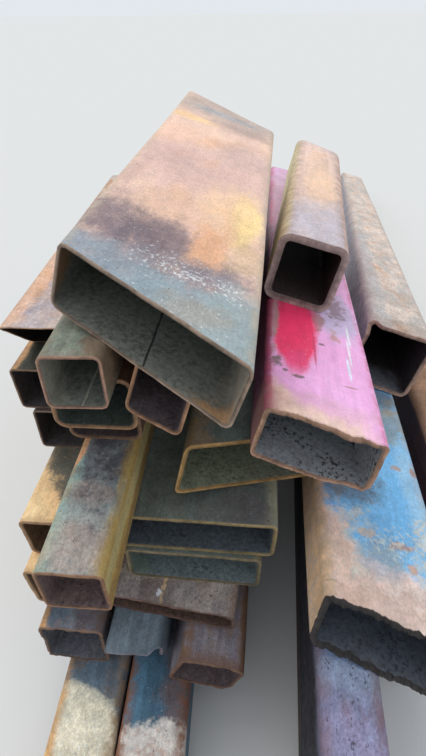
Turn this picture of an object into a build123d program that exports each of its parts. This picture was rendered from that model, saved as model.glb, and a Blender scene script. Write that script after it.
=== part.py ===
"""A heap of used steel box sections lying on level ground, in millimetres.

X runs to the right across the heap, Y away from its front along the sections, and Z up. Each
section lies on the ones under it. The origin is on the ground under the middle of the whole heap.
"""

import math
import os

from build123d import *

os.makedirs("parts", exist_ok=True)

# Room left where one section rests on another, so that they touch without sharing any metal.
GAP = 0.3
# Room left between two sections that lie side by side.
SIDE_GAP = 3.0


def box_section(width, height, wall, corner, length, mitre=0.0, slant=0.0, back_mitre=0.0):
    """Make one hollow section along Y, with its lower left edge on the Y axis and its mouth at Y 0.

    The mitre sets the mouth's right side back by that angle, and the slant sets its top back.
    The back mitre does the same to the far end's right side.
    """
    across = math.tan(math.radians(mitre))
    up = math.tan(math.radians(slant))
    back_across = math.tan(math.radians(back_mitre))
    spare = width * max(abs(across), abs(back_across)) + height * abs(up) + 5
    with BuildPart() as tube:
        with BuildSketch(Plane.XZ.offset(spare)):
            with Locations((width / 2, height / 2)):
                RectangleRounded(width, height, corner)
                RectangleRounded(
                    width - 2 * wall, height - 2 * wall, corner - wall, mode=Mode.SUBTRACT
                )
        extrude(amount=-(length + 2 * spare))
        mouth = Plane(origin=(0, 0, 0), z_dir=(-across, 1, -up))
        split(bisect_by=mouth, keep=Keep.TOP)
        far_end = Plane(origin=(0, length, 0), z_dir=(-back_across, 1, 0))
        split(bisect_by=far_end, keep=Keep.BOTTOM)
    return tube.part


def laid(section, x, y, z=0.0, yaw=0.0, pitch=0.0, roll=0.0):
    """Put a section's lower left mouth corner at a place, with a positive roll lowering its right."""
    return Pos(x, y, z) * Rot(Z=yaw) * Rot(X=pitch) * Rot(Y=roll) * section


def drop(section, supports):
    """Find how far a section sinks before it is GAP clear of the first support it meets."""
    moved = 0.0
    for step in range(40):
        lowered = section.moved(Pos(0, 0, -moved))
        room = min(lowered.distance_to(support) for support in supports) - GAP
        if room < 0.02:
            break
        moved += room
    return moved


def rested(section, supports):
    """Lift a section over its supports and lower it onto them."""
    top = max(support.bounding_box().max.Z for support in supports)
    lifted = section.moved(Pos(0, 0, top + 2 - section.bounding_box().min.Z))
    return lifted.moved(Pos(0, 0, -drop(lifted, supports)))


# The two runners on the ground carry the left half of the heap.
RUNNER = 102.0
RUNNER_WALL = 6.4
RUNNER_CORNER = 14.0
RUNNER_YAW = 1.2
RUNNER_LEFT_X = -271.0
RUNNER_LEFT_Y = 95.0
RUNNER_LEFT_LENGTH = 1320.0
RUNNER_RIGHT_Y = 128.0
RUNNER_RIGHT_LENGTH = 1219.0
runner_right_x = RUNNER_LEFT_X + (RUNNER + SIDE_GAP) / math.cos(math.radians(RUNNER_YAW))
runner_right_x -= (RUNNER_RIGHT_Y - RUNNER_LEFT_Y) * math.tan(math.radians(RUNNER_YAW))
runner_section = box_section(RUNNER, RUNNER, RUNNER_WALL, RUNNER_CORNER, RUNNER_LEFT_LENGTH)
runner_left = laid(runner_section, RUNNER_LEFT_X, RUNNER_LEFT_Y, yaw=RUNNER_YAW)
runner_section = box_section(RUNNER, RUNNER, RUNNER_WALL, RUNNER_CORNER, RUNNER_RIGHT_LENGTH)
runner_right = laid(runner_section, runner_right_x, RUNNER_RIGHT_Y, yaw=RUNNER_YAW)

# A square section and a slimmer one lie side by side on the runners.
BASE_SQUARE = 102.0
BASE_SQUARE_LENGTH = 1067.0
BASE_SQUARE_Y = 276.0
BASE_SLIM_WIDTH = 86.0
BASE_SLIM_HEIGHT = 102.0
BASE_SLIM_LENGTH = 860.0
BASE_SLIM_CUT = -28.0
BASE_SLIM_X = -194.0
BASE_SLIM_Y = 308.0
base_square_x = BASE_SLIM_X - SIDE_GAP * 3 - BASE_SQUARE
base_section = box_section(BASE_SQUARE, BASE_SQUARE, 6.4, 12.0, BASE_SQUARE_LENGTH, slant=2.0)
base_square = rested(laid(base_section, base_square_x, BASE_SQUARE_Y), [runner_left])
slim_section = box_section(
    BASE_SLIM_WIDTH, BASE_SLIM_HEIGHT, 5.0, 10.0, BASE_SLIM_LENGTH, slant=BASE_SLIM_CUT
)
base_slim = rested(laid(slim_section, BASE_SLIM_X, BASE_SLIM_Y), [runner_left, runner_right])

# A short square offcut leans off the right runner, with its right edge low.
SHORT_WIDTH = 102.0
SHORT_HEIGHT = 89.0
SHORT_LENGTH = 330.0
SHORT_ROLL = 18.0
SHORT_Y = 258.0
short_x = BASE_SLIM_X + BASE_SLIM_WIDTH + SIDE_GAP
short_section = box_section(SHORT_WIDTH, SHORT_HEIGHT, 6.4, 14.0, SHORT_LENGTH, mitre=2.0)
short_square = laid(short_section, short_x, SHORT_Y, yaw=-1.5, roll=SHORT_ROLL)
short_square = rested(short_square, [runner_right])

# An unseen bearer on the ground holds the offcut's right side up.
SHORT_PROP_WIDTH = 51.0
SHORT_PROP_WALL = 5.0
SHORT_PROP_X = -52.0
SHORT_PROP_Y = 330.0
SHORT_PROP_LENGTH = 260.0
SHORT_PROP_TRIAL = 40.0
prop_section = box_section(
    SHORT_PROP_WIDTH, SHORT_PROP_TRIAL, SHORT_PROP_WALL, 10.0, SHORT_PROP_LENGTH
)
short_prop = laid(prop_section, SHORT_PROP_X, SHORT_PROP_Y, yaw=RUNNER_YAW)
short_prop_height = SHORT_PROP_TRIAL + drop(short_square, [short_prop])
prop_section = box_section(
    SHORT_PROP_WIDTH, short_prop_height, SHORT_PROP_WALL, 10.0, SHORT_PROP_LENGTH
)
short_prop = laid(prop_section, SHORT_PROP_X, SHORT_PROP_Y, yaw=RUNNER_YAW)

# A low, wide section crosses the slim one and rests on an unseen tall one at its right.
FLAT_WIDTH = 203.0
FLAT_HEIGHT = 38.0
FLAT_LENGTH = 760.0
FLAT_YAW = -5.0
FLAT_X = -205.0
FLAT_Y = 322.0
FLAT_PROP_WIDTH = 76.0
FLAT_PROP_X = -26.0
FLAT_PROP_Y = 620.0
FLAT_PROP_LENGTH = 510.0
flat_section = box_section(FLAT_WIDTH, FLAT_HEIGHT, 4.8, 9.0, FLAT_LENGTH, mitre=-1.0)
flat_section_laid = laid(flat_section, FLAT_X, FLAT_Y, yaw=FLAT_YAW)
flat_section_laid = rested(flat_section_laid, [base_slim])
flat_prop_height = flat_section_laid.bounding_box().min.Z - GAP
prop_section = box_section(FLAT_PROP_WIDTH, flat_prop_height, 6.4, 12.0, FLAT_PROP_LENGTH)
flat_prop = laid(prop_section, FLAT_PROP_X, FLAT_PROP_Y)

# Two wide sections lie on top of it, the upper one wider.
WIDE_HEIGHT = 76.0
WIDE_LOWER_WIDTH = 203.0
WIDE_LOWER_LENGTH = 960.0
WIDE_UPPER_WIDTH = 254.0
WIDE_UPPER_LENGTH = 1067.0
WIDE_LOWER_X = -170.0
WIDE_LOWER_Y = 354.0
WIDE_UPPER_X = -203.0
WIDE_UPPER_Y = 360.0
lower_section = box_section(WIDE_LOWER_WIDTH, WIDE_HEIGHT, 6.4, 10.0, WIDE_LOWER_LENGTH)
wide_lower = rested(laid(lower_section, WIDE_LOWER_X, WIDE_LOWER_Y, yaw=-0.4), [flat_section_laid])
upper_section = box_section(WIDE_UPPER_WIDTH, WIDE_HEIGHT, 6.4, 10.0, WIDE_UPPER_LENGTH)
wide_upper = rested(laid(upper_section, WIDE_UPPER_X, WIDE_UPPER_Y), [wide_lower])
wide_top = wide_upper.bounding_box().max.Z

# The left column stands on the square base section, its third section level with the wide ones.
LOWER_SIDE = 102.0
LOWER_LENGTH = 990.0
LOWER_Y = 318.0
THIRD_WIDTH = 102.0
THIRD_LENGTH = 900.0
THIRD_Y = 344.0
lower_x = FLAT_X - SIDE_GAP * 3 - LOWER_SIDE
lower_left_section = box_section(LOWER_SIDE, LOWER_SIDE, 6.4, 12.0, LOWER_LENGTH, slant=-2.0)
left_lower = rested(laid(lower_left_section, lower_x, LOWER_Y), [base_square])
third_height = wide_top - left_lower.bounding_box().max.Z - GAP
third_x = WIDE_UPPER_X - SIDE_GAP - THIRD_WIDTH
third_section = box_section(THIRD_WIDTH, third_height, 6.4, 12.0, THIRD_LENGTH, slant=-2.0)
left_third = rested(laid(third_section, third_x, THIRD_Y), [left_lower])

# A long square section bridges the column and the upper wide one.
LONG_WIDTH = 80.0
LONG_HEIGHT = 76.0
LONG_LENGTH = 1219.0
LONG_X = -223.5
LONG_Y = 231.0
LONG_YAW = 1.0
long_section = box_section(LONG_WIDTH, LONG_HEIGHT, 5.0, 8.0, LONG_LENGTH, slant=1.0)
long_square = laid(long_section, LONG_X, LONG_Y, yaw=LONG_YAW)
long_square = rested(long_square, [wide_upper, left_third])

# Two thick sections lie on it, one on the other, and a small square one on those.
THICK_WIDTH = 102.0
THICK_HEIGHT = 76.0
THICK_WALL = 6.0
THICK_CORNER = 15.0
THICK_LOWER_X = -243.0
THICK_LOWER_Y = 430.0
THICK_LOWER_LENGTH = 800.0
THICK_UPPER_X = -228.0
THICK_UPPER_Y = 376.0
THICK_UPPER_LENGTH = 760.0
thick_section = box_section(
    THICK_WIDTH, THICK_HEIGHT, THICK_WALL, THICK_CORNER, THICK_LOWER_LENGTH
)
thick_lower = rested(laid(thick_section, THICK_LOWER_X, THICK_LOWER_Y, yaw=1.2), [long_square])
thick_section = box_section(
    THICK_WIDTH, THICK_HEIGHT, THICK_WALL, THICK_CORNER, THICK_UPPER_LENGTH, slant=2.0
)
thick_upper = rested(laid(thick_section, THICK_UPPER_X, THICK_UPPER_Y, yaw=1.2), [thick_lower])
thick_right = THICK_UPPER_X + THICK_WIDTH

SMALL_SIDE = 64.0
SMALL_LENGTH = 660.0
SMALL_Y = 329.0
small_x = thick_right - SIDE_GAP * 4 - SMALL_SIDE
small_section = box_section(SMALL_SIDE, SMALL_SIDE, 3.5, 8.0, SMALL_LENGTH, mitre=2.0, slant=2.5)
small_square = rested(laid(small_section, small_x, SMALL_Y, yaw=1.4), [thick_upper])

# Three more sections go up the left column beside the long and the thick ones.
MIDDLE_WIDTH = 89.0
MIDDLE_HEIGHT = 76.0
MIDDLE_LENGTH = 840.0
MIDDLE_Y = 477.0
UPPER_SIDE = 76.0
UPPER_LENGTH = 720.0
UPPER_Y = 485.0
SLOPED_WIDTH = 89.0
SLOPED_HEIGHT = 76.0
SLOPED_LENGTH = 600.0
SLOPED_Y = 551.0
SLOPED_CUT = -46.0
middle_x = LONG_X - SIDE_GAP * 3 - MIDDLE_WIDTH
middle_section = box_section(MIDDLE_WIDTH, MIDDLE_HEIGHT, 3.6, 7.0, MIDDLE_LENGTH, slant=2.0)
left_middle = rested(laid(middle_section, middle_x, MIDDLE_Y, yaw=1.0), [left_third])
upper_x = THICK_LOWER_X - SIDE_GAP * 6 - UPPER_SIDE
upper_left_section = box_section(UPPER_SIDE, UPPER_SIDE, 3.6, 7.0, UPPER_LENGTH, slant=-2.0)
left_upper = rested(laid(upper_left_section, upper_x, UPPER_Y, yaw=1.2), [left_middle])
sloped_x = THICK_UPPER_X - SIDE_GAP * 4 - SLOPED_WIDTH
sloped_section = box_section(
    SLOPED_WIDTH, SLOPED_HEIGHT, 3.6, 8.0, SLOPED_LENGTH, slant=SLOPED_CUT
)
left_sloped = rested(laid(sloped_section, sloped_x, SLOPED_Y, yaw=2.4), [left_upper])

# A tall section on edge, on a lower one, carries the right half.
EDGE_WIDTH = 80.0
EDGE_HEIGHT = 203.0
EDGE_LENGTH = 1219.0
EDGE_X = 101.0
EDGE_Y = 90.0
EDGE_YAW = -2.0
EDGE_BASE_SIDE = 89.0
EDGE_BASE_LENGTH = 1000.0
EDGE_BASE_INSET = 8.0
EDGE_BASE_SETBACK = 80.0
edge_base_section = box_section(EDGE_BASE_SIDE, EDGE_BASE_SIDE, 6.4, 12.0, EDGE_BASE_LENGTH)
edge_base = laid(
    edge_base_section, EDGE_X + EDGE_BASE_INSET, EDGE_Y + EDGE_BASE_SETBACK, yaw=EDGE_YAW
)
edge_section = box_section(EDGE_WIDTH, EDGE_HEIGHT, 6.4, 12.0, EDGE_LENGTH)
edge_tall = rested(laid(edge_section, EDGE_X, EDGE_Y, yaw=EDGE_YAW), [edge_base])

# The blue section rests on its right edge, with an unseen prop under its low right side.
BLUE_WIDTH = 178.0
BLUE_HEIGHT = 76.0
BLUE_LENGTH = 480.0
BLUE_ROLL = 12.0
BLUE_X = 93.0
BLUE_Y = 252.0
BLUE_YAW = -1.2
BLUE_PROP_X = 235.0
BLUE_PROP_Y = 330.0
BLUE_PROP_WIDTH = 76.0
BLUE_PROP_TRIAL = 180.0
BLUE_PROP_LENGTH = 380.0
blue_section = box_section(
    BLUE_WIDTH, BLUE_HEIGHT, 8.0, 13.0, BLUE_LENGTH, mitre=-13.0, slant=22.0
)
blue_rolled = laid(blue_section, BLUE_X, BLUE_Y, yaw=BLUE_YAW, roll=BLUE_ROLL)
blue_rolled = rested(blue_rolled, [edge_tall])

# One wide section leans from the upper wide one down onto the blue one. The unseen section under
# the tall one is as high as lets it touch both.
TILTED_WIDTH = 254.0
TILTED_HEIGHT = 76.0
TILTED_LENGTH = 860.0
TILTED_ROLL = 12.4
TILTED_X = -93.0
TILTED_Y = 379.0
tilted_section = box_section(
    TILTED_WIDTH, TILTED_HEIGHT, 6.4, 10.0, TILTED_LENGTH, mitre=23.0, slant=16.0
)
wide_tilted = laid(tilted_section, TILTED_X, TILTED_Y, yaw=-0.8, roll=TILTED_ROLL)
on_blue = rested(wide_tilted, [blue_rolled])
wide_tilted = rested(wide_tilted, [wide_upper])
lowered = on_blue.bounding_box().min.Z - wide_tilted.bounding_box().min.Z
edge_base_height = EDGE_BASE_SIDE - lowered
edge_base_section = box_section(EDGE_BASE_SIDE, edge_base_height, 6.4, 12.0, EDGE_BASE_LENGTH)
edge_base = laid(
    edge_base_section, EDGE_X + EDGE_BASE_INSET, EDGE_Y + EDGE_BASE_SETBACK, yaw=EDGE_YAW
)
edge_tall = edge_tall.moved(Pos(0, 0, -lowered))
blue_rolled = blue_rolled.moved(Pos(0, 0, -lowered))

prop_section = box_section(BLUE_PROP_WIDTH, BLUE_PROP_TRIAL, 6.4, 12.0, BLUE_PROP_LENGTH)
blue_prop = laid(prop_section, BLUE_PROP_X, BLUE_PROP_Y)
blue_prop_height = BLUE_PROP_TRIAL + drop(blue_rolled, [blue_prop])
prop_section = box_section(BLUE_PROP_WIDTH, blue_prop_height, 6.4, 12.0, BLUE_PROP_LENGTH)
blue_prop = laid(prop_section, BLUE_PROP_X, BLUE_PROP_Y)

# The pink section lies flush on it, and a thick square one flush on the pink.
PINK_WIDTH = 160.0
PINK_HEIGHT = 80.0
PINK_LENGTH = 1100.0
PINK_X = 6.0
PINK_Y = 400.0
HEAVY_SIDE = 114.0
HEAVY_WALL = 12.0
HEAVY_CORNER = 20.0
HEAVY_LENGTH = 640.0
HEAVY_X = 17.0
HEAVY_Y = 692.0
pink_section = box_section(
    PINK_WIDTH, PINK_HEIGHT, 7.0, 10.0, PINK_LENGTH, mitre=-4.0, slant=6.0
)
pink_rolled = laid(pink_section, PINK_X, PINK_Y, yaw=-1.0, roll=TILTED_ROLL)
pink_rolled = rested(pink_rolled, [wide_tilted])
heavy_section = box_section(
    HEAVY_SIDE, HEAVY_SIDE, HEAVY_WALL, HEAVY_CORNER, HEAVY_LENGTH,
    mitre=-3.0, slant=3.0, back_mitre=-30.0
)
heavy_square = laid(heavy_section, HEAVY_X, HEAVY_Y, yaw=-5.4, roll=TILTED_ROLL)
heavy_square = rested(heavy_square, [pink_rolled])

# A small rolled section leans off the upper thick one, over an unseen prop.
LEANING_WIDTH = 64.0
LEANING_HEIGHT = 64.0
LEANING_LENGTH = 640.0
LEANING_ROLL = 17.7
LEANING_Y = 346.0
LEANING_PROP_X = -125.0
LEANING_PROP_Y = 640.0
LEANING_PROP_WIDTH = 32.0
LEANING_PROP_TRIAL = 120.0
LEANING_PROP_LENGTH = 300.0
leaning_x = thick_right - 3.0
leaning_section = box_section(
    LEANING_WIDTH, LEANING_HEIGHT, 4.0, 8.0, LEANING_LENGTH, mitre=-18.0, slant=16.0
)
small_leaning = laid(leaning_section, leaning_x, LEANING_Y, yaw=1.2, roll=LEANING_ROLL)
small_leaning = rested(small_leaning, [thick_upper])
prop_section = box_section(
    LEANING_PROP_WIDTH, LEANING_PROP_TRIAL, 4.0, 8.0, LEANING_PROP_LENGTH
)
leaning_prop = laid(prop_section, LEANING_PROP_X, LEANING_PROP_Y, wide_top + GAP)
leaning_prop_height = LEANING_PROP_TRIAL + drop(small_leaning, [leaning_prop])
prop_section = box_section(
    LEANING_PROP_WIDTH, leaning_prop_height, 4.0, 8.0, LEANING_PROP_LENGTH
)
leaning_prop = laid(prop_section, LEANING_PROP_X, LEANING_PROP_Y, wide_top + GAP)

# The widest section lies over the small ones, rolled to the right and cut on the skew.
TOP_WIDTH = 203.0
TOP_HEIGHT = 70.0
TOP_WALL = 4.0
TOP_LENGTH = 772.0
TOP_X = -204.0
TOP_Y = 393.0
TOP_PITCH = 1.8
TOP_ROLL = 17.7
top_section = box_section(
    TOP_WIDTH, TOP_HEIGHT, TOP_WALL, 9.0, TOP_LENGTH, mitre=-25.7, slant=7.7, back_mitre=-24.0
)
top_wide = laid(top_section, TOP_X, TOP_Y, yaw=-2.0, pitch=TOP_PITCH, roll=TOP_ROLL)
top_wide = rested(top_wide, [small_square, small_leaning])

# An unseen section on edge, lying on the tilted one, holds its low right side up.
TOP_PROP_WIDTH = 38.0
TOP_PROP_TRIAL = 90.0
TOP_PROP_LENGTH = 300.0
TOP_PROP_ALONG = 330.0
TOP_PROP_ACROSS = 15.0
tilt = Rot(Z=-0.8) * Rot(Y=TILTED_ROLL)
prop_start = tilt * Pos(TOP_PROP_ACROSS, TOP_PROP_ALONG, TILTED_HEIGHT)
spare_roll = math.radians(TOP_ROLL - TILTED_ROLL)
room_share = math.cos(math.radians(TOP_ROLL)) / math.cos(spare_roll)
top_prop_height = TOP_PROP_TRIAL
for attempt in range(3):
    prop_section = box_section(TOP_PROP_WIDTH, top_prop_height, 4.0, 8.0, TOP_PROP_LENGTH)
    top_prop = Pos(TILTED_X, TILTED_Y, 0) * prop_start * prop_section
    top_prop = rested(top_prop, [wide_tilted])
    if attempt < 2:
        top_prop_height += drop(top_wide, [top_prop]) * room_share

# The long brown section leans from the blue one's far edge down to the ground.
LEAN_SIDE = 127.0
LEAN_WALL = 8.0
LEAN_CORNER = 15.0
LEAN_TRIAL = 1200.0
LEAN_PITCH = 8.6
LEAN_ROLL = 14.0
LEAN_YAW = -7.4
LEAN_X = 188.0
LEAN_Y = 722.0
lean_section = box_section(LEAN_SIDE, LEAN_SIDE, LEAN_WALL, LEAN_CORNER, LEAN_TRIAL)
long_lean = laid(lean_section, LEAN_X, LEAN_Y, yaw=LEAN_YAW, pitch=-LEAN_PITCH, roll=LEAN_ROLL)
long_lean = rested(long_lean, [blue_rolled])
low_end = long_lean.bounding_box().min.Z
lean_length = LEAN_TRIAL + low_end / math.sin(math.radians(LEAN_PITCH))
lean_section = box_section(LEAN_SIDE, LEAN_SIDE, LEAN_WALL, LEAN_CORNER, lean_length)
long_lean = laid(lean_section, LEAN_X, LEAN_Y, yaw=LEAN_YAW, pitch=-LEAN_PITCH, roll=LEAN_ROLL)
long_lean = long_lean.moved(Pos(0, 0, -long_lean.bounding_box().min.Z))

# One more section on edge stands at the far right.
RIGHT_WIDTH = 102.0
RIGHT_HEIGHT = 305.0
RIGHT_LENGTH = 460.0
RIGHT_X = 345.0
RIGHT_Y = 430.0
right_section = box_section(RIGHT_WIDTH, RIGHT_HEIGHT, 6.4, 12.0, RIGHT_LENGTH)
right_tall = laid(right_section, RIGHT_X, RIGHT_Y)

pieces = {
    "runner_left": runner_left,
    "runner_right": runner_right,
    "base_square": base_square,
    "base_slim": base_slim,
    "short_square": short_square,
    "short_prop": short_prop,
    "flat_wide": flat_section_laid,
    "flat_prop": flat_prop,
    "wide_lower": wide_lower,
    "wide_upper": wide_upper,
    "left_lower": left_lower,
    "left_third": left_third,
    "left_middle": left_middle,
    "left_upper": left_upper,
    "left_sloped": left_sloped,
    "long_square": long_square,
    "thick_lower": thick_lower,
    "thick_upper": thick_upper,
    "small_square": small_square,
    "edge_base": edge_base,
    "edge_tall": edge_tall,
    "blue_rolled": blue_rolled,
    "blue_prop": blue_prop,
    "wide_tilted": wide_tilted,
    "pink_rolled": pink_rolled,
    "heavy_square": heavy_square,
    "small_leaning": small_leaning,
    "leaning_prop": leaning_prop,
    "top_wide": top_wide,
    "top_prop": top_prop,
    "long_lean": long_lean,
    "right_tall": right_tall,
}

# The whole heap is moved so that the middle of its footprint is over the origin.
boxes = [piece.bounding_box() for piece in pieces.values()]
middle_x = (min(box.min.X for box in boxes) + max(box.max.X for box in boxes)) / 2
middle_y = (min(box.min.Y for box in boxes) + max(box.max.Y for box in boxes)) / 2
for name, piece in pieces.items():
    placed = piece.moved(Pos(-middle_x, -middle_y, 0))
    placed.label = name
    export_step(placed, f"parts/{name}.step")
    size = placed.bounding_box()
    print(name, [round(value) for value in (*size.min, *size.max)])
print("moved by", round(-middle_x, 1), round(-middle_y, 1))
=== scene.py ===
"""A heap of used steel box sections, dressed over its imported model.

The heap is put together here as it lies: the two runners on the ground first, then what rests on
them, up to the widest section on top, and last the two sections at the right. Lengths are in metres
and angles in degrees.
"""

import math

import bpy
from mathutils import Matrix, Vector


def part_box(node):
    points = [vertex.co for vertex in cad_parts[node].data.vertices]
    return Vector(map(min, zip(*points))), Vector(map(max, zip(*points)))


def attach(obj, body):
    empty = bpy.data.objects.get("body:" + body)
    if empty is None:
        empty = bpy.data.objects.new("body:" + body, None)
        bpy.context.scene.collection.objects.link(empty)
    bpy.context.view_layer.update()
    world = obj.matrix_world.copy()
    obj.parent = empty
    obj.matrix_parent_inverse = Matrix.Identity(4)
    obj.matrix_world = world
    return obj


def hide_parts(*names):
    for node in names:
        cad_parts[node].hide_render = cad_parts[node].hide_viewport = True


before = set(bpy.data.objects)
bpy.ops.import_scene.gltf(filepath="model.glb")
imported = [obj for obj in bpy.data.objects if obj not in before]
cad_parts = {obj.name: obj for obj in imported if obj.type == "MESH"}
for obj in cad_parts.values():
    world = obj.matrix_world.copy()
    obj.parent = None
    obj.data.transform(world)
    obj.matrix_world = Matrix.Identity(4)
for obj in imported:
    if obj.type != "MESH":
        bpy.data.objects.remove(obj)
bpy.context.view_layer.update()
scene = bpy.context.scene

# The two runners are square sections lying straight on the ground, and carry the left half of the
# heap. Like every piece here each is rolled from strip, welded along one wall and cut off.


def wire(tree, kind, *values, **settings):
    """Add a node, set its properties, and feed its inputs in order with sockets or plain values."""
    node = tree.nodes.new(kind)
    for name, value in settings.items():
        setattr(node, name, value)
    for socket, value in zip(node.inputs, values):
        if isinstance(value, bpy.types.NodeSocket):
            tree.links.new(value, socket)
        elif value is not None:
            socket.default_value = value
    return node


def calc(tree, operation, *values):
    """One Math node's result."""
    return wire(tree, "ShaderNodeMath", *values, operation=operation).outputs[0]


def plus(tree, first, second):
    """Two values added."""
    return calc(tree, "ADD", first, second)


def minus(tree, first, second):
    """The second value taken from the first."""
    return calc(tree, "SUBTRACT", first, second)


def times(tree, first, second):
    """Two values multiplied."""
    return calc(tree, "MULTIPLY", first, second)


def vcalc(tree, operation, *values):
    """One Vector Math node's vector result."""
    return wire(tree, "ShaderNodeVectorMath", *values, operation=operation).outputs["Vector"]


def ramp(tree, value, low, high, out_low=0.0, out_high=1.0):
    """A value eased from one number to another as it goes from low to high."""
    node = wire(
        tree, "ShaderNodeMapRange", value, low, high, out_low, out_high,
        interpolation_type="SMOOTHSTEP",
    )
    return node.outputs["Result"]


def noise(tree, spot, scale, detail, roughness=0.5):
    """Noise from 0 to 1 at a spot, about 0.5 on average."""
    return wire(tree, "ShaderNodeTexNoise", spot, None, scale, detail, roughness).outputs["Fac"]


def new_group(name, kind, inputs, outputs):
    """A node group with named sockets, and its input and output nodes."""
    tree = bpy.data.node_groups.new(name, kind)
    for label, socket_type, value in inputs:
        socket = tree.interface.new_socket(name=label, in_out="INPUT", socket_type=socket_type)
        if value is not None:
            socket.default_value = value
    for label, socket_type in outputs:
        tree.interface.new_socket(name=label, in_out="OUTPUT", socket_type=socket_type)
    return tree, tree.nodes.new("NodeGroupInput").outputs, tree.nodes.new("NodeGroupOutput").inputs


# Points along a wall from end to end, how far they crowd towards both ends (0 to 1), and the
# pieces of a rounded corner.
RINGS = 28
CROWDING = 0.985
CORNER_STEPS = 10
# How far the rim's own edges are taken off.
RIM_ROUND = 0.0007
FLOAT = "NodeSocketFloat"

section_tree, given, made = new_group(
    "box section",
    "GeometryNodeTree",
    [
        ("Width", FLOAT, 0.1),
        ("Height", FLOAT, 0.1),
        ("Wall", FLOAT, 0.0064),
        ("Corner", FLOAT, 0.012),
        ("Length", FLOAT, 1.0),
        ("Mitre", FLOAT, 0.0),
        ("Slant", FLOAT, 0.0),
        ("Back Mitre", FLOAT, 0.0),
        ("Ragged", FLOAT, 0.0005),
        ("Back Ragged", FLOAT, 0.0005),
        ("Notch At", "NodeSocketVector", None),
        ("Notch Reach", FLOAT, 0.03),
        ("Notch Depth", FLOAT, 0.0),
        ("Dent", FLOAT, 0.001),
        ("Point Gap", FLOAT, 0.0045),
        ("Seed", FLOAT, 0.0),
        ("Finish", "NodeSocketMaterial", None),
    ],
    [("Geometry", "NodeSocketGeometry")],
)


def section_node(kind, *values, **settings):
    """A node of the section's tree."""
    return wire(section_tree, kind, *values, **settings)


def sums(operation, *values):
    """A Math node of the section's tree."""
    return calc(section_tree, operation, *values)


# The wall's middle line goes once round the section.
half_wall = sums("MULTIPLY", given["Wall"], 0.5)
outline = section_node(
    "GeometryNodeCurvePrimitiveQuadrilateral",
    sums("SUBTRACT", given["Width"], given["Wall"]),
    sums("SUBTRACT", given["Height"], given["Wall"]),
).outputs[0]
outline = section_node(
    "GeometryNodeFilletCurve", outline, CORNER_STEPS,
    sums("SUBTRACT", given["Corner"], half_wall), True, mode="POLY",
).outputs[0]
outline = section_node(
    "GeometryNodeResampleCurve", outline, None, None, given["Point Gap"], mode="LENGTH"
).outputs[0]

# The strip's long thin outline runs out along the outer face and back along the inner one, with
# its points closest near the two ends.
strip = section_node("GeometryNodeMeshLine", 2 * RINGS).outputs[0]
index = section_node("GeometryNodeInputIndex").outputs[0]
inner = sums("GREATER_THAN", index, RINGS - 0.5)
back_way = sums("SUBTRACT", 2 * RINGS - 1, index)
ring = sums("ADD", index, sums("MULTIPLY", inner, sums("SUBTRACT", back_way, index)))
share = sums("DIVIDE", ring, RINGS - 1)
wave = sums("SINE", sums("MULTIPLY", share, 2 * math.pi))
along = sums("SUBTRACT", share, sums("MULTIPLY", wave, CROWDING / (2 * math.pi)))
along = sums("MULTIPLY", along, given["Length"])
from_middle = sums("ABSOLUTE", sums("SUBTRACT", share, 0.5))
at_rim = sums("GREATER_THAN", from_middle, 0.4999)
rim_cut = sums("MULTIPLY", at_rim, RIM_ROUND)
off_wall = sums("MULTIPLY", sums("SUBTRACT", half_wall, rim_cut),
                sums("SUBTRACT", 1.0, sums("MULTIPLY", inner, 2.0)))
strip = section_node(
    "GeometryNodeSetPosition", strip, None,
    section_node("ShaderNodeCombineXYZ", off_wall, along, 0.0).outputs[0],
).outputs[0]
for label, value in (("along", along), ("inner", inner)):
    strip = section_node("GeometryNodeStoreNamedAttribute", strip, None, label, value).outputs[0]
strip = section_node("GeometryNodeMeshToCurve", strip).outputs[0]
strip = section_node("GeometryNodeSetSplineCyclic", strip, None, True).outputs[0]
tube = section_node("GeometryNodeCurveToMesh", outline, strip).outputs[0]

# Each point then takes its place: the lower left edge on the Y axis, the mouth at Y 0.
along = section_node("GeometryNodeInputNamedAttribute", "along").outputs[0]
position = section_node("GeometryNodeInputPosition").outputs[0]
across_up = section_node("ShaderNodeSeparateXYZ", position)
x = sums("ADD", across_up.outputs["X"], sums("MULTIPLY", given["Width"], 0.5))
z = sums("ADD", across_up.outputs["Y"], sums("MULTIPLY", given["Height"], 0.5))
to_end = sums("DIVIDE", along, given["Length"])
to_mouth = sums("SUBTRACT", 1.0, to_end)
cut = sums("ADD", sums("MULTIPLY", given["Mitre"], x), sums("MULTIPLY", given["Slant"], z))
y = sums("ADD", along, sums("MULTIPLY", to_mouth, cut))
y = sums("ADD", y, sums("MULTIPLY", to_end, sums("MULTIPLY", given["Back Mitre"], x)))
place = section_node("ShaderNodeCombineXYZ", x, y, z).outputs[0]
tube = section_node(
    "GeometryNodeStoreNamedAttribute", tube, None, "place", place, data_type="FLOAT_VECTOR"
).outputs[0]
# The corner attribute is 1 where a rounded corner runs and 0 on the flats.
nearness = []
for size, value in (("Width", "X"), ("Height", "Y")):
    flat = sums("ABSOLUTE", across_up.outputs[value])
    edge = sums("MULTIPLY", given[size], 0.5)
    nearness.append(
        ramp(
            section_tree, flat,
            sums("SUBTRACT", edge, sums("MULTIPLY", given["Corner"], 1.6)),
            sums("SUBTRACT", edge, sums("MULTIPLY", given["Corner"], 0.45)),
        )
    )
tube = section_node(
    "GeometryNodeStoreNamedAttribute", tube, None, "corner", sums("MULTIPLY", *nearness)
).outputs[0]

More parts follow.
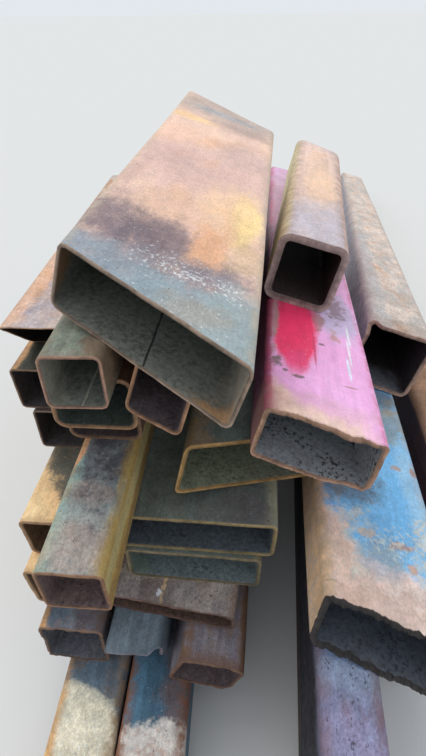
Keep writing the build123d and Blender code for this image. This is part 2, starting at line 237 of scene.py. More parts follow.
# Torch and saw leave the rim uneven, a blow leaves a notch, and the walls are never quite flat. The
# rim's waves and its finer teeth are given by how many come to a metre, and by their depth as a
# multiple of the ragged amount. The swells are long and low.
RAGGED_RUN = 0.045
WAVES_A_METRE, WAVE_DEPTH = 26.0, 4.0
TEETH_A_METRE, TOOTH_DEPTH = 140.0, 2.4
NOTCH_RUN = 0.14
SWELLS_A_METRE = (9.0, 3.0, 9.0)
SWELL_DEPTH = 4.0
RIM_PLANE = 0.00005
place = section_node(
    "GeometryNodeInputNamedAttribute", "place", data_type="FLOAT_VECTOR"
).outputs[0]
parts = section_node("ShaderNodeSeparateXYZ", place).outputs
for end, amount, shift in (("mouth", "Ragged", 0.0), ("far", "Back Ragged", 5.0)):
    gone = along if end == "mouth" else sums("SUBTRACT", given["Length"], along)
    fade = ramp(section_tree, gone, 0.0, RAGGED_RUN, 1.0, 0.0)
    spot = section_node(
        "ShaderNodeCombineXYZ", parts["X"], sums("ADD", given["Seed"], shift), parts["Z"]
    ).outputs[0]
    waves = sums("SUBTRACT", noise(section_tree, spot, WAVES_A_METRE, 2.0), 0.5)
    teeth = sums("SUBTRACT", noise(section_tree, spot, TEETH_A_METRE, 4.0, 0.65), 0.5)
    bite = sums("ADD", sums("MULTIPLY", waves, WAVE_DEPTH), sums("MULTIPLY", teeth, TOOTH_DEPTH))
    bite = sums("MULTIPLY", sums("MULTIPLY", bite, fade), given[amount])
    y = sums("ADD", y, bite)
notch_at = section_node("ShaderNodeSeparateXYZ", given["Notch At"]).outputs
notch_gap = sums(
    "SQRT",
    sums(
        "ADD",
        sums("POWER", sums("SUBTRACT", parts["X"], notch_at["X"]), 2.0),
        sums("POWER", sums("SUBTRACT", parts["Z"], notch_at["Z"]), 2.0),
    ),
)
notch = ramp(section_tree, sums("DIVIDE", notch_gap, given["Notch Reach"]), 0.35, 1.0, 1.0, 0.0)
notch = sums("MULTIPLY", notch, ramp(section_tree, along, 0.0, NOTCH_RUN, 1.0, 0.0))
y = sums("ADD", y, sums("MULTIPLY", notch, given["Notch Depth"]))
swell = section_node(
    "ShaderNodeTexNoise", vcalc(section_tree, "MULTIPLY", place, SWELLS_A_METRE), None, 1.0, 2.0
).outputs["Color"]
swell = vcalc(section_tree, "SUBTRACT", swell, (0.5, 0.5, 0.5))
swell = section_node("ShaderNodeVectorMath", swell, None, None, given["Dent"], operation="SCALE")
swell = section_node("ShaderNodeSeparateXYZ", swell.outputs["Vector"]).outputs
tube = section_node(
    "GeometryNodeSetPosition", tube, None,
    section_node(
        "ShaderNodeCombineXYZ",
        sums("ADD", parts["X"], sums("MULTIPLY", swell["X"], SWELL_DEPTH)),
        y,
        sums("ADD", parts["Z"], sums("MULTIPLY", swell["Z"], SWELL_DEPTH)),
    ).outputs[0],
).outputs[0]
tube = section_node("GeometryNodeRealizeInstances", tube).outputs[0]
from_end = sums("MINIMUM", along, sums("SUBTRACT", given["Length"], along))
tube = section_node("GeometryNodeStoreNamedAttribute", tube, None, "end", from_end).outputs[0]
tube = section_node("GeometryNodeSetMaterial", tube, None, given["Finish"]).outputs[0]
tube = section_node("GeometryNodeSetShadeSmooth", tube, None, True).outputs[0]
tube = section_node(
    "GeometryNodeSetShadeSmooth", tube, sums("LESS_THAN", from_end, RIM_PLANE), False
).outputs[0]
section_tree.links.new(tube, made["Geometry"])
SOCKETS = {item.name: item.identifier for item in section_tree.interface.items_tree}


def slope(angle):
    """How far an end's cut runs back for each metre across it."""
    return math.tan(math.radians(angle))


def lay_section(node, finish, slot, turn=(0.0, 0.0, 0.0), cuts=(0.0, 0.0, 0.0), **sizes):
    """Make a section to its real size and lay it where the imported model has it.

    The turn is its yaw, pitch and roll. The cuts are the mouth's mitre and slant and the far end's
    mitre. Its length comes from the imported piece's own box.
    """
    yaw, pitch, roll = (math.radians(angle) for angle in turn)
    spin = Matrix.Rotation(yaw, 4, "Z") @ Matrix.Rotation(pitch, 4, "X")
    spin = spin @ Matrix.Rotation(roll, 4, "Y")
    low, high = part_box(node)
    mitre, slant, back = (slope(angle) for angle in cuts)

    def reach(length):
        """How far the section's sharp corners reach along Y once it is turned."""
        corners = [
            spin @ Vector((x, y, z))
            for x in (0.0, sizes["Width"])
            for z in (0.0, sizes["Height"])
            for y in (mitre * x + slant * z, length + back * x)
        ]
        return max(c.y for c in corners) - min(c.y for c in corners)

    growth = reach(2.0) - reach(1.0)
    length = 1.0 + (high.y - low.y - reach(1.0)) / growth
    sizes.update({"Length": length, "Mitre": mitre, "Slant": slant, "Back Mitre": back})
    piece = bpy.data.objects.new(f"{node}_section", bpy.data.meshes.new(node))
    scene.collection.objects.link(piece)
    modifier = piece.modifiers.new("section", "NODES")
    modifier.node_group = section_tree
    for label, value in sizes.items():
        modifier[SOCKETS[label.replace("_", " ")]] = value
    modifier[SOCKETS["Finish"]] = finish
    drawn = bpy.data.meshes.new_from_object(
        piece.evaluated_get(bpy.context.evaluated_depsgraph_get())
    )
    piece.modifiers.clear()
    piece.data = drawn
    plain = [spin @ Vector(item.vector) for item in drawn.attributes["place"].data]
    lows = Vector([min(point[i] for point in plain) for i in range(3)])
    highs = Vector([max(point[i] for point in plain) for i in range(3)])
    shift = (low + high - lows - highs) / 2
    shift.z = low.z - lows.z
    drawn.transform(Matrix.Translation(shift) @ spin)
    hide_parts(node)
    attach(piece, "root")


def paint(code):
    """A colour from its six hexadecimal digits, as the shaders take it."""
    values = [int(code[i : i + 2], 16) / 255 for i in (0, 2, 4)]
    return (*[v / 12.92 if v <= 0.04045 else ((v + 0.055) / 1.055) ** 2.4 for v in values], 1.0)


COLOUR = "NodeSocketColor"


def blend(tree, share, first, second, how="MIX"):
    """Two colours mixed by a share."""
    node = tree.nodes.new("ShaderNodeMix")
    node.data_type = "RGBA"
    node.blend_type = how
    colour_inputs = (node.inputs[0], node.inputs[6], node.inputs[7])
    for socket, value in zip(colour_inputs, (share, first, second)):
        if isinstance(value, bpy.types.NodeSocket):
            tree.links.new(value, socket)
        else:
            socket.default_value = value
    return node.outputs[2]


def shade(tree, tone, level):
    """A colour made darker or lighter by a number."""
    grey = wire(tree, "ShaderNodeCombineColor", level, level, level).outputs[0]
    return blend(tree, 1.0, tone, grey, "MULTIPLY")


def reading(tree, name):
    """An attribute that the section's tree left on the piece."""
    return wire(tree, "ShaderNodeAttribute", attribute_name=name).outputs


# Weathered steel: a coat of two tones in blotches, drawn out into streaks along the section, with
# rust coming through it in patches.
coat_tree, coat_in, coat_out = new_group(
    "weathered coat",
    "ShaderNodeTree",
    [
        ("Pale", COLOUR, None),
        ("Deep", COLOUR, None),
        ("Rust", COLOUR, None),
        ("Blotches", FLOAT, 9.0),
        ("Rust Share", FLOAT, 0.4),
        ("Streaks", FLOAT, 0.3),
        ("Seed", FLOAT, 0.0),
    ],
    [("Colour", COLOUR), ("Roughness", FLOAT), ("Height", FLOAT)],
)


def cloud(tree, seed, stretch, scale, detail, roughness=0.55, shift=0.0):
    """Noise over the section's own width, length and height, moved on by the section's seed."""
    moved = plus(tree, seed, shift)
    moved = wire(tree, "ShaderNodeCombineXYZ", moved, moved, moved).outputs[0]
    spot = vcalc(tree, "MULTIPLY", reading(tree, "place")["Vector"], stretch)
    return noise(tree, vcalc(tree, "ADD", spot, moved), scale, detail, roughness)


seed = coat_in["Seed"]
blotch = cloud(coat_tree, seed, (1, 0.6, 1), coat_in["Blotches"], 10.0, 0.66)
tone = blend(coat_tree, ramp(coat_tree, blotch, 0.33, 0.67), coat_in["Deep"], coat_in["Pale"])
streak = cloud(coat_tree, seed, (1, 0.05, 1), 90.0, 5.0, 0.6, 3.0)
streak = ramp(coat_tree, streak, 0.35, 0.7, -0.5, 0.5)
streak = times(coat_tree, streak, coat_in["Streaks"])
tone = shade(coat_tree, tone, plus(coat_tree, streak, 1.0))
rust_scale = times(coat_tree, coat_in["Blotches"], 1.8)
rusting = cloud(coat_tree, seed, (1, 0.7, 1), rust_scale, 12.0, 0.74, 7.0)
rust_line = minus(coat_tree, 0.72, times(coat_tree, coat_in["Rust Share"], 0.4))
rusted = ramp(coat_tree, minus(coat_tree, rusting, rust_line), -0.08, 0.1)
tone = blend(coat_tree, times(coat_tree, rusted, 0.85), tone, coat_in["Rust"])
height = times(coat_tree, rusted, 0.25)
rough = plus(coat_tree, 0.6, times(coat_tree, rusted, 0.25))
for label, value in (("Colour", tone), ("Roughness", rough), ("Height", height)):
    coat_tree.links.new(value, coat_out[label])

# A patch is a fraying spot of another colour, anywhere on the section, inside or out. A thin one
# is broken up into spatter.
patch_tree, patch_in, patch_out = new_group(
    "patch",
    "ShaderNodeTree",
    [
        ("Coat", COLOUR, None),
        ("Patch", COLOUR, None),
        ("Centre", "NodeSocketVector", None),
        ("Reach", "NodeSocketVector", None),
        ("Share", FLOAT, 0.9),
        ("Fray", FLOAT, 0.4),
        ("Grain", FLOAT, 30.0),
        ("Soft", FLOAT, 0.3),
        ("Thin", FLOAT, 0.0),
        ("Inside", FLOAT, 0.0),
        ("Holes", FLOAT, 0.22),
        ("Drawn", FLOAT, 1.0),
    ],
    [("Colour", COLOUR)],
)
spot = reading(patch_tree, "place")["Vector"]
away = vcalc(patch_tree, "DIVIDE", vcalc(patch_tree, "SUBTRACT", spot, patch_in["Centre"]),
             patch_in["Reach"])
away = wire(patch_tree, "ShaderNodeVectorMath", away, operation="LENGTH").outputs["Value"]
drawn_out = wire(patch_tree, "ShaderNodeCombineXYZ", 1.0, patch_in["Drawn"], 1.0).outputs[0]
spot = vcalc(patch_tree, "MULTIPLY", spot, drawn_out)
torn = noise(patch_tree, spot, patch_in["Grain"], 10.0, 0.72)
torn = times(patch_tree, minus(patch_tree, torn, 0.5), 5.0)
away = plus(patch_tree, away, times(patch_tree, torn, patch_in["Fray"]))
away = plus(patch_tree, away, patch_in["Thin"])
mask = ramp(patch_tree, away, minus(patch_tree, 1.0, patch_in["Soft"]),
            plus(patch_tree, 1.0, patch_in["Soft"]), 1.0, 0.0)
other_side = minus(patch_tree, reading(patch_tree, "inner")["Fac"], patch_in["Inside"])
other_side = calc(patch_tree, "ABSOLUTE", other_side)
mask = times(patch_tree, mask, minus(patch_tree, 1.0, other_side))
mask = times(patch_tree, mask, patch_in["Share"])
fine = noise(patch_tree, spot, 75.0, 8.0, 0.72)
holes = times(patch_tree, ramp(patch_tree, fine, 0.48, 0.62), patch_in["Holes"])
mask = times(patch_tree, mask, minus(patch_tree, 1.0, holes))
level = ramp(patch_tree, noise(patch_tree, spot, 28.0, 6.0, 0.65), 0.3, 0.7, 0.86, 1.12)
tone = shade(patch_tree, patch_in["Patch"], level)
patch_tree.links.new(blend(patch_tree, mask, patch_in["Coat"], tone), patch_out["Colour"])

# Over coat, patches and bore goes what is fine: mottling, grain, dark pits and pale specks.
fleck_tree, fleck_in, fleck_out = new_group(
    "grain and flecks",
    "ShaderNodeTree",
    [
        ("Coat", COLOUR, None),
        ("Speck", COLOUR, None),
        ("Speck Share", FLOAT, 0.3),
        ("Pits", FLOAT, 0.2),
        ("Grain", FLOAT, 0.3),
        ("Mottle", FLOAT, 0.18),
        ("Seed", FLOAT, 0.0),
    ],
    [("Colour", COLOUR), ("Height", FLOAT)],
)
seed = fleck_in["Seed"]


def flecks(scale, share, shift):
    """Small uneven flecks, in clusters, on more or less of the steel."""
    crowd = cloud(fleck_tree, seed, (1, 0.6, 1), 15.0, 4.0, 0.6, shift + 1.0)
    crowd = times(fleck_tree, ramp(fleck_tree, crowd, 0.4, 0.62), 0.09)
    line = minus(fleck_tree, 0.73, times(fleck_tree, share, plus(fleck_tree, 0.05, crowd)))
    dots = cloud(fleck_tree, seed, (1, 0.75, 1), scale, 2.0, 0.7, shift)
    return ramp(fleck_tree, minus(fleck_tree, dots, line), 0.0, 0.035)


PIT_COLOUR = (0.02, 0.015, 0.014, 1)
outside = minus(fleck_tree, 1.0, reading(fleck_tree, "inner")["Fac"])
mottle = cloud(fleck_tree, seed, (1, 0.8, 1), 60.0, 8.0, 0.75, 29.0)
mottle = ramp(fleck_tree, mottle, 0.3, 0.7, -1.0, 1.0)
mottle = plus(fleck_tree, times(fleck_tree, mottle, fleck_in["Mottle"]), 1.0)
tone = shade(fleck_tree, fleck_in["Coat"], mottle)
grain = cloud(fleck_tree, seed, (1, 0.7, 1), 300.0, 4.0, 0.8, 11.0)
level = times(fleck_tree, minus(fleck_tree, grain, 0.5), 4.2)
level = plus(fleck_tree, times(fleck_tree, level, fleck_in["Grain"]), 1.0)
tone = shade(fleck_tree, tone, level)
pits = times(fleck_tree, flecks(190.0, fleck_in["Pits"], 37.0), outside)
tone = blend(fleck_tree, times(fleck_tree, pits, 0.65), tone, PIT_COLOUR)
specks = times(fleck_tree, flecks(330.0, fleck_in["Speck Share"], 17.0), outside)
tone = blend(fleck_tree, times(fleck_tree, specks, 0.7), tone, fleck_in["Speck"])
height = plus(fleck_tree, times(fleck_tree, grain, 0.7), times(fleck_tree, mottle, 0.6))
height = plus(fleck_tree, height, times(fleck_tree, specks, 0.3))
height = minus(fleck_tree, height, times(fleck_tree, pits, 0.4))
fleck_tree.links.new(tone, fleck_out["Colour"])
fleck_tree.links.new(height, fleck_out["Height"])

# The dark bore, the worn edges and the cut rim are the same on every section but for their
# colours. The seam is where the strip's edges were welded, along the bottom wall.
bore_tree, bore_in, bore_out = new_group(
    "bore",
    "ShaderNodeTree",
    [
        ("Coat", COLOUR, None),
        ("Bore", COLOUR, None),
        ("Bore Rust", COLOUR, None),
        ("Rust Share", FLOAT, 0.3),
        ("Bore Pits", FLOAT, 0.3),
        ("Seam", COLOUR, None),
        ("Seam At", FLOAT, -1.0),
    ],
    [("Colour", COLOUR)],
)
# Inside, the rust thins out over this far behind the mouth. The weld seam has a core and an edge on
# each side of its middle, and shows on the bottom wall alone, up to its top.
BORE_RUST_RUN = 0.12
BORE_PIT_COLOUR = (0.008, 0.007, 0.007, 1)
SEAM_CORE, SEAM_EDGE = 0.0006, 0.0018
SEAM_FOOT, SEAM_TOP = 0.014, 0.018
spot = reading(bore_tree, "place")["Vector"]
wide_noise = noise(bore_tree, spot, 22.0, 8.0, 0.7)
pit_noise = noise(bore_tree, spot, 170.0, 3.0, 0.7)
rust_fade = ramp(bore_tree, reading(bore_tree, "end")["Fac"], 0.0, BORE_RUST_RUN, 1.0, 0.3)
rust_fade = times(bore_tree, rust_fade, bore_in["Rust Share"])
rust_here = times(bore_tree, rust_fade, ramp(bore_tree, wide_noise, 0.3, 0.6))
tone = blend(bore_tree, rust_here, bore_in["Bore"], bore_in["Bore Rust"])
pit_line = ramp(bore_tree, noise(bore_tree, spot, 14.0, 3.0, 0.6), 0.38, 0.62, 0.66, 0.53)
pitting = ramp(bore_tree, minus(bore_tree, pit_noise, pit_line), 0.0, 0.05)
pitting = times(bore_tree, pitting, bore_in["Bore Pits"])
tone = blend(bore_tree, pitting, tone, BORE_PIT_COLOUR)
tone = shade(bore_tree, tone, ramp(bore_tree, pit_noise, 0.3, 0.7, 1.25, 0.75))
parts_in = wire(bore_tree, "ShaderNodeSeparateXYZ", spot).outputs
wander = times(bore_tree, minus(bore_tree, wide_noise, 0.5), 0.004)
off_seam = plus(bore_tree, minus(bore_tree, parts_in["X"], bore_in["Seam At"]), wander)
off_seam = calc(bore_tree, "ABSOLUTE", off_seam)
on_seam = ramp(bore_tree, off_seam, SEAM_CORE, SEAM_EDGE, 0.85, 0.0)
on_seam = times(bore_tree, on_seam, ramp(bore_tree, parts_in["Z"], SEAM_FOOT, SEAM_TOP, 1.0, 0.0))
tone = blend(bore_tree, on_seam, tone, bore_in["Seam"])
inside = ramp(bore_tree, reading(bore_tree, "inner")["Fac"], 0.95, 1.0)
bore_tree.links.new(blend(bore_tree, inside, bore_in["Coat"], tone), bore_out["Colour"])

wear_tree, wear_in, wear_out = new_group(
    "worn edges and rim",
    "ShaderNodeTree",
    [
        ("Coat", COLOUR, None),
        ("Rim", COLOUR, None),
        ("Edge", COLOUR, None),
        ("Rim Reach", FLOAT, 0.012),
        ("Rim Band", FLOAT, 0.4),
        ("Edge Wear", FLOAT, 0.6),
    ],
    [("Colour", COLOUR)],
)
# The cut face's colour holds up to the first of these from the end, and is gone at the second.
RIM_FACE, RIM_FACE_END = 0.0006, 0.0016
wearing = noise(wear_tree, reading(wear_tree, "place")["Vector"], 45.0, 9.0, 0.75)
outside = minus(wear_tree, 1.0, reading(wear_tree, "inner")["Fac"])
worn = times(wear_tree, ramp(wear_tree, wearing, 0.35, 0.6), reading(wear_tree, "corner")["Fac"])
worn = times(wear_tree, times(wear_tree, worn, wear_in["Edge Wear"]), outside)
tone = blend(wear_tree, worn, wear_in["Coat"], wear_in["Edge"])
from_end = reading(wear_tree, "end")["Fac"]
band_depth = times(wear_tree, wear_in["Rim Reach"],
                  ramp(wear_tree, wearing, 0.3, 0.7, 0.4, 1.8))
band = ramp(wear_tree, calc(wear_tree, "DIVIDE", from_end, band_depth), 0.3, 1.2, 1.0, 0.0)
band = times(wear_tree, times(wear_tree, band, wear_in["Rim Band"]), outside)
tone = blend(wear_tree, band, tone, wear_in["Rim"])
face = ramp(wear_tree, from_end, RIM_FACE, RIM_FACE_END, 1.0, 0.0)
scorch_and_rim_light = ramp(wear_tree, wearing, 0.35, 0.65, 1.3, 0.6)
# Painted highlight and shade across the cut face: lighter at its outer edge, darker towards the bore.
rim_painted_light = ramp(wear_tree, reading(wear_tree, "inner")["Fac"], 0.1, 0.95, 1.15, 0.62)
scorch_and_rim_light = times(wear_tree, scorch_and_rim_light, rim_painted_light)
rim = shade(wear_tree, wear_in["Rim"], scorch_and_rim_light)
wear_tree.links.new(blend(wear_tree, face, tone, rim), wear_out["Colour"])


def place_group(tree, group, **values):
    """Place a shader group in a material, with those of the values that it has a socket for."""
    node = tree.nodes.new("ShaderNodeGroup")
    node.node_tree = group
    for label, value in values.items():
        socket = node.inputs.get(label.replace("_", " "))
        if socket is None:
            continue
        if isinstance(value, bpy.types.NodeSocket):
            tree.links.new(value, socket)
        else:
            socket.default_value = value
    return node.outputs


# The relief's height at full strength.
RELIEF = 0.002


def steel(name, coat, bore, wear, patches=(), bump=0.55, rough=0.0, sheen=0.3):
    """A section's finish: its coat and bore, the patches over them in order, its edges and rim."""
    material = bpy.data.materials.new(name)
    material.use_nodes = True
    tree = material.node_tree
    shader = tree.nodes["Principled BSDF"]
    made_coat = place_group(tree, coat_tree, **coat)
    tone = place_group(tree, bore_tree, Coat=made_coat["Colour"], **bore)["Colour"]
    for layer in patches:
        tone = place_group(tree, patch_tree, Coat=tone, **layer)["Colour"]
    fine = place_group(tree, fleck_tree, Coat=tone, **coat)
    tone = place_group(tree, wear_tree, Coat=fine["Colour"], **wear)["Colour"]
    tree.links.new(tone, shader.inputs["Base Color"])
    tree.links.new(plus(tree, made_coat["Roughness"], rough), shader.inputs["Roughness"])
    shader.inputs["Specular IOR Level"].default_value = sheen
    relief = plus(tree, made_coat["Height"], fine["Height"])
    relief = wire(tree, "ShaderNodeBump", bump, RELIEF, None, relief)
    tree.links.new(relief.outputs["Normal"], shader.inputs["Normal"])
    return material


def coat(pale, deep, rust, speck="d8d2c6", **values):
    """The coat's four colours and its numbers."""
    values.update(Pale=paint(pale), Deep=paint(deep), Rust=paint(rust), Speck=paint(speck))
    return values


def bore(inside, rust, seam="141312", **values):
    """The bore's colours and its numbers."""
    values.update(Bore=paint(inside), Bore_Rust=paint(rust), Seam=paint(seam))
    return values


def wear(rim, edge, **values):
    """The rim's and edges' colours and their numbers."""
    values.update(Rim=paint(rim), Edge=paint(edge))
    return values


def patch(centre, reach, colour, share=0.9, fray=0.4, grain=16.0, **values):
    """One patch: its middle and half sizes on the section in metres, and how it frays."""
    values.update(Centre=centre, Reach=reach, Patch=paint(colour))
    values.update(Share=share, Fray=fray, Grain=grain)
    return values


RUNNER = {"Width": 0.102, "Height": 0.102, "Corner": 0.014}
lay_section(
    "runner_left",
    steel(
        "slate scale, painted sunlight at the front",
        coat("6a7e90", "4c5a62", "7e6c62", Blotches=7.0, Pits=0.3, Streaks=0.25, Grain=0.35, Seed=1.0),
        bore("5a5550", "7a5c44"), wear("a8845c", "a8804e", Rim_Reach=0.008), [
            # Painted sunlight lies pale over the front up to a hard edge, and orange along its left side.
            patch((0.0, -0.05, 0.102), (0.148, 0.20, 0.05), "f4ecd4", 0.95, 0.08, 14.0, Soft=0.04),
            patch((0.05, 0.02, 0.102), (0.04, 0.08, 0.03), "c4b8a0", 0.45, 1.0, 40.0, Soft=0.4),
            patch((0.0, 0.0, 0.095), (0.014, 0.16, 0.05), "e0a868", 0.85, 0.5, 22.0, Soft=0.4),
            patch((0.05, 0.03, 0.102), (0.05, 0.10, 0.03), "fbfaf4", 0.7, 1.0, 200.0, Thin=0.9, Soft=0.3),
        ]),
    "slate_steel", turn=(1.2, 0, 0), Seed=1.0, **RUNNER,
)
lay_section(
    "runner_right",
    steel(
        "slate-blue scale with rusty edges",
        coat("6490ac", "4c6c82", "7a6c68", Blotches=8.0, Rust_Share=0.2, Pits=0.4, Streaks=0.3,
             Seed=4.0),
        bore("4a4c50", "7a5440"), wear("9c6440", "8c5c40", Edge_Wear=0.9), [
            # Rust lies along both edges, and the front turns pale up to a hard edge.
            patch((0.088, 0.12, 0.102), (0.026, 0.4, 0.03), "74605e", 0.85, 0.6, 16.0, Soft=0.5),
            patch((0.06, -0.02, 0.102), (0.13, 0.09, 0.03), "f2eae2", 0.95, 0.15, 20.0, Soft=0.06,
                  Holes=0.2),
            patch((0.04, 0.0, 0.102), (0.06, 0.05, 0.03), "b87c60", 0.5, 1.0, 60.0, Thin=0.2,
                  Soft=0.4),
            patch((0.0, 0.2, 0.1), (0.005, 1.0, 0.02), "a06848", 0.85, 0.4, 40.0),
        ]),
    "slate_steel", turn=(1.2, 0, 0), Seed=2.0, **RUNNER,
)

# Two sections lie side by side on the runners: a square one with a ragged rim and painted sunlight, tan,
# on its left corner at the mouth, and a slimmer one cut off at a slope, so that its floor ends before its
# roof. Both keep their dark mill scale.
lay_section(
    "base_square",
    steel(
        "teal-grey scale over brown rust",
        coat("7e94a6", "525c68", "8a7e80", Rust_Share=0.5, Pits=0.4, Streaks=0.2, Seed=9.0),
        bore("6a6e78", "665852"), wear("745c4e", "6e5848", Rim_Reach=0.003), [
            patch((0.09, 0.03, 0.102), (0.03, 0.05, 0.03), "645456", 0.8, 0.6, 22.0),
            # Painted sunlight: a tan strip on the left corner at the mouth.
            patch((0.0, 0.02, 0.1), (0.012, 0.05, 0.03), "dca870", 0.95, 0.3, 24.0),
            patch((0.0, 0.0, 0.07), (0.02, 0.012, 0.05), "c89a6c", 0.9, 0.4, 40.0),
        ]),
    "dark_steel", cuts=(0, 2, 0), Width=0.102, Height=0.102, Corner=0.012, Ragged=0.0034,
    Point_Gap=0.003, Seed=3.0,
)
lay_section(
    "base_slim",
    steel(
        "teal scale, purple at the cut",
        coat("788692", "525c64", "7c7076", Blotches=10.0, Rust_Share=0.25, Pits=0.3, Seed=12.0),
        bore("3c4042", "54463e"), wear("746a72", "4c5860", Rim_Reach=0.002), [
            patch((0.05, 0.06, 0.102), (0.07, 0.04, 0.03), "5c5464", 0.85, 0.6, 20.0),
            patch((0.05, 0.075, 0.102), (0.026, 0.0016, 0.02), "d4dcd4", 0.95, 0.08, 40.0),
        ]),
    "dark_steel", cuts=(0, -28, 0), Width=0.086, Height=0.102, Wall=0.005, Corner=0.010,
    Ragged=0.0016, Seed=4.0, Notch_At=(0.086, 0.0, 0.1), Notch_Reach=0.02, Notch_Depth=0.012,
)

# The short offcut has slid off the right runner, and lies with its right edge low. Its rim is
# uneven, and its edges have rusted brown.
lay_section(
    "short_square",
    steel(
        "mauve scale, rusty edges",
        coat("a8a2ac", "7c7480", "a48c7a", Blotches=11.0, Rust_Share=0.45, Pits=0.3, Seed=15.0),
        bore("706468", "6a4c40"), wear("7a5c4c", "8c6a50", Edge_Wear=0.95), [
            patch((0.102, 0.2, 0.05), (0.012, 1.0, 0.3), "7c5c48", 0.85, 0.3, 20.0),
            patch((0.05, 0.0, 0.089), (0.06, 0.02, 0.02), "8c6c5a", 0.6, 0.5, 30.0),
        ]),
    "maroon_steel", turn=(-1.5, 0, 18.0), cuts=(2, 0, 0), Width=0.102, Height=0.089, Corner=0.014,
    Ragged=0.0022, Seed=5.0,
)

# The low, wide section lies askew across the slim one. It is thin rolled steel, pitted by rust, with
# a row of weld spatter over its top.
lay_section(
    "flat_wide",
    steel(
        "pitted purple-brown rust",
        coat("c2b4ac", "8c8484", "a08c7e", Rust_Share=0.5, Pits=0.6, Grain=0.5, Seed=20.0),
        bore("584640", "6a4c3e"), wear("6c5248", "7c5c4a", Rim_Reach=0.003), [
            patch((0.085, 0.06, 0.038), (0.03, 0.12, 0.02), "786864", 0.6, 0.6, 20.0),
            patch((0.089, 0.05, 0.038), (0.003, 0.05, 0.02), "d8b890", 0.9, 0.9, 130.0, Soft=0.2),
            patch((0.084, 0.016, 0.038), (0.003, 0.006, 0.02), "e8ecf4", 0.95, 0.6, 150.0, Soft=0.2),
            patch((0.05, 0.05, 0.038), (0.10, 0.03, 0.02), "dcd0c4", 0.4, 1.0, 90.0, Thin=0.6, Soft=0.3),
        ]),
    "maroon_steel", turn=(-5.0, 0, 0), cuts=(-1, 0, 0), Width=0.203, Height=0.038, Wall=0.0048,
    Corner=0.009, Ragged=0.0022, Point_Gap=0.003, Seed=6.0,
)

# Two wide sections lie on it, the wider one on top. Their scale is dark green-grey, and their rims
# and right edges have gone olive.
wide_coat = coat("7e8a84", "565f5b", "726a5c", "b8bcae", Blotches=8.0, Rust_Share=0.35,
                 Speck_Share=0.35, Pits=0.35, Streaks=0.2, Grain=0.35, Seed=24.0)
WIDE = {"Height": 0.076, "Corner": 0.010, "Ragged": 0.0007}
lay_section(
    "wide_lower",
    steel("green-grey scale, dull rim", wide_coat, bore("788488", "4a4438", Rust_Share=0.2),
          wear("7c7058", "7c7860", Rim_Reach=0.002), [
              patch((0.203, 0.3, 0.05), (0.014, 2.0, 0.05), "847c64", 0.8, 0.3, 20.0),
              patch((0.0, 0.0, 0.03), (0.03, 0.05, 0.06), "7c8c7c", 0.7, 0.4, 16.0, Inside=1.0),
          ]),
    "dark_steel", turn=(-0.4, 0, 0), Width=0.203, Seed=7.0, **WIDE,
)
lay_section(
    "wide_upper",
    steel("green-grey scale, olive rim", dict(wide_coat, Seed=28.0),
          bore("565e66", "3a3a36", Rust_Share=0.2), wear("8c7a58", "8c8c72", Rim_Reach=0.002), [
              patch((0.252, 0.3, 0.07), (0.018, 2.0, 0.05), "8e8e76", 0.8, 0.3, 14.0, Soft=0.5),
              patch((0.20, 0.02, 0.076), (0.05, 0.03, 0.02), "645e60", 0.7, 0.7, 26.0),
          ]),
    "dark_steel", Width=0.254, Seed=8.0, **WIDE,
)

# The left column stands beside them: two sections with a bright dusty tan rust, then, beside the
# long one, two maroon ones and one cut off at a long slope.
tan_coat = coat("ffe0ac", "f8ca94", "e0b078", "fbeed4", Blotches=8.0, Rust_Share=0.25,
                Speck_Share=0.25, Pits=0.1, Streaks=0.2, Grain=0.2, Seed=31.0)
lay_section(
    "left_lower",
    steel("bright dusty tan rust", tan_coat, bore("74604e", "7a583c"), wear("a88460", "c8a070")),
    "tan_steel", cuts=(0, -2, 0), Width=0.102, Height=0.102, Corner=0.012, Ragged=0.001, Seed=9.0,
)
third_low, third_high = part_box("left_third")
lay_section(
    "left_third",
    steel("bright tan rust, painted shadow behind", dict(tan_coat, Seed=35.0), bore("66503e", "6e4e38"),
          wear("a07c5c", "d8b480"), [
              # Painted shadow: a dark grey-green patch with a hard edge over the back of the top, where
              # the sections above shade it.
              patch((0.12, 0.28, 0.09), (0.16, 0.26, 0.06), "5c605a", 0.95, 0.1, 14.0, Soft=0.04,
                    Holes=0.1),
          ]),
    "tan_steel", cuts=(0, -2, 0), Width=0.102, Height=third_high.z - third_low.z, Corner=0.012,
    Ragged=0.001, Seed=10.0,
)
lay_section(
    "left_middle",
    steel("dark maroon scale", coat("575050", "3a3636", "644a3e", Seed=38.0),
          bore("4c4848", "544840"), wear("7a6454", "6a5648", Rim_Reach=0.002)),
    "maroon_steel", turn=(1.0, 0, 0), cuts=(0, 2, 0), Width=0.089, Height=0.076, Wall=0.0036,
    Corner=0.007, Seed=11.0,
)
lay_section(
    "left_upper",
    steel("dark olive scale", coat("545446", "3c3c34", "5e4c3c", Seed=41.0),
          bore("504c4e", "544640"), wear("7a6250", "6e5a4a", Rim_Reach=0.002), [
              # Painted sunlight: a tan strip along the top's left edge.
              patch((0.0, 0.06, 0.076), (0.012, 0.2, 0.03), "d2a070", 0.9, 0.35, 18.0),
          ]),
    "maroon_steel", turn=(1.2, 0, 0), cuts=(0, -2, 0), Width=0.076, Height=0.076, Wall=0.0036,
    Corner=0.007, Seed=12.0,
)
lay_section(
    "left_sloped",
    steel(
        "tan and lavender rust",
        coat("dac2ac", "a8a0ac", "ba8c68", Blotches=9.0, Rust_Share=0.4, Streaks=0.2, Seed=44.0),
        bore("2e2826", "4a3a30"), wear("a07e62", "a88468", Rim_Reach=0.003), [
            patch((0.0, 0.08, 0.076), (0.03, 0.2, 0.03), "f0be9a", 0.7, 0.5, 14.0),
        ]),
    "tan_steel", turn=(2.4, 0, 0), cuts=(0, -46, 0), Width=0.089, Height=0.076, Wall=0.0036,
    Corner=0.008, Ragged=0.001, Seed=13.0,
)
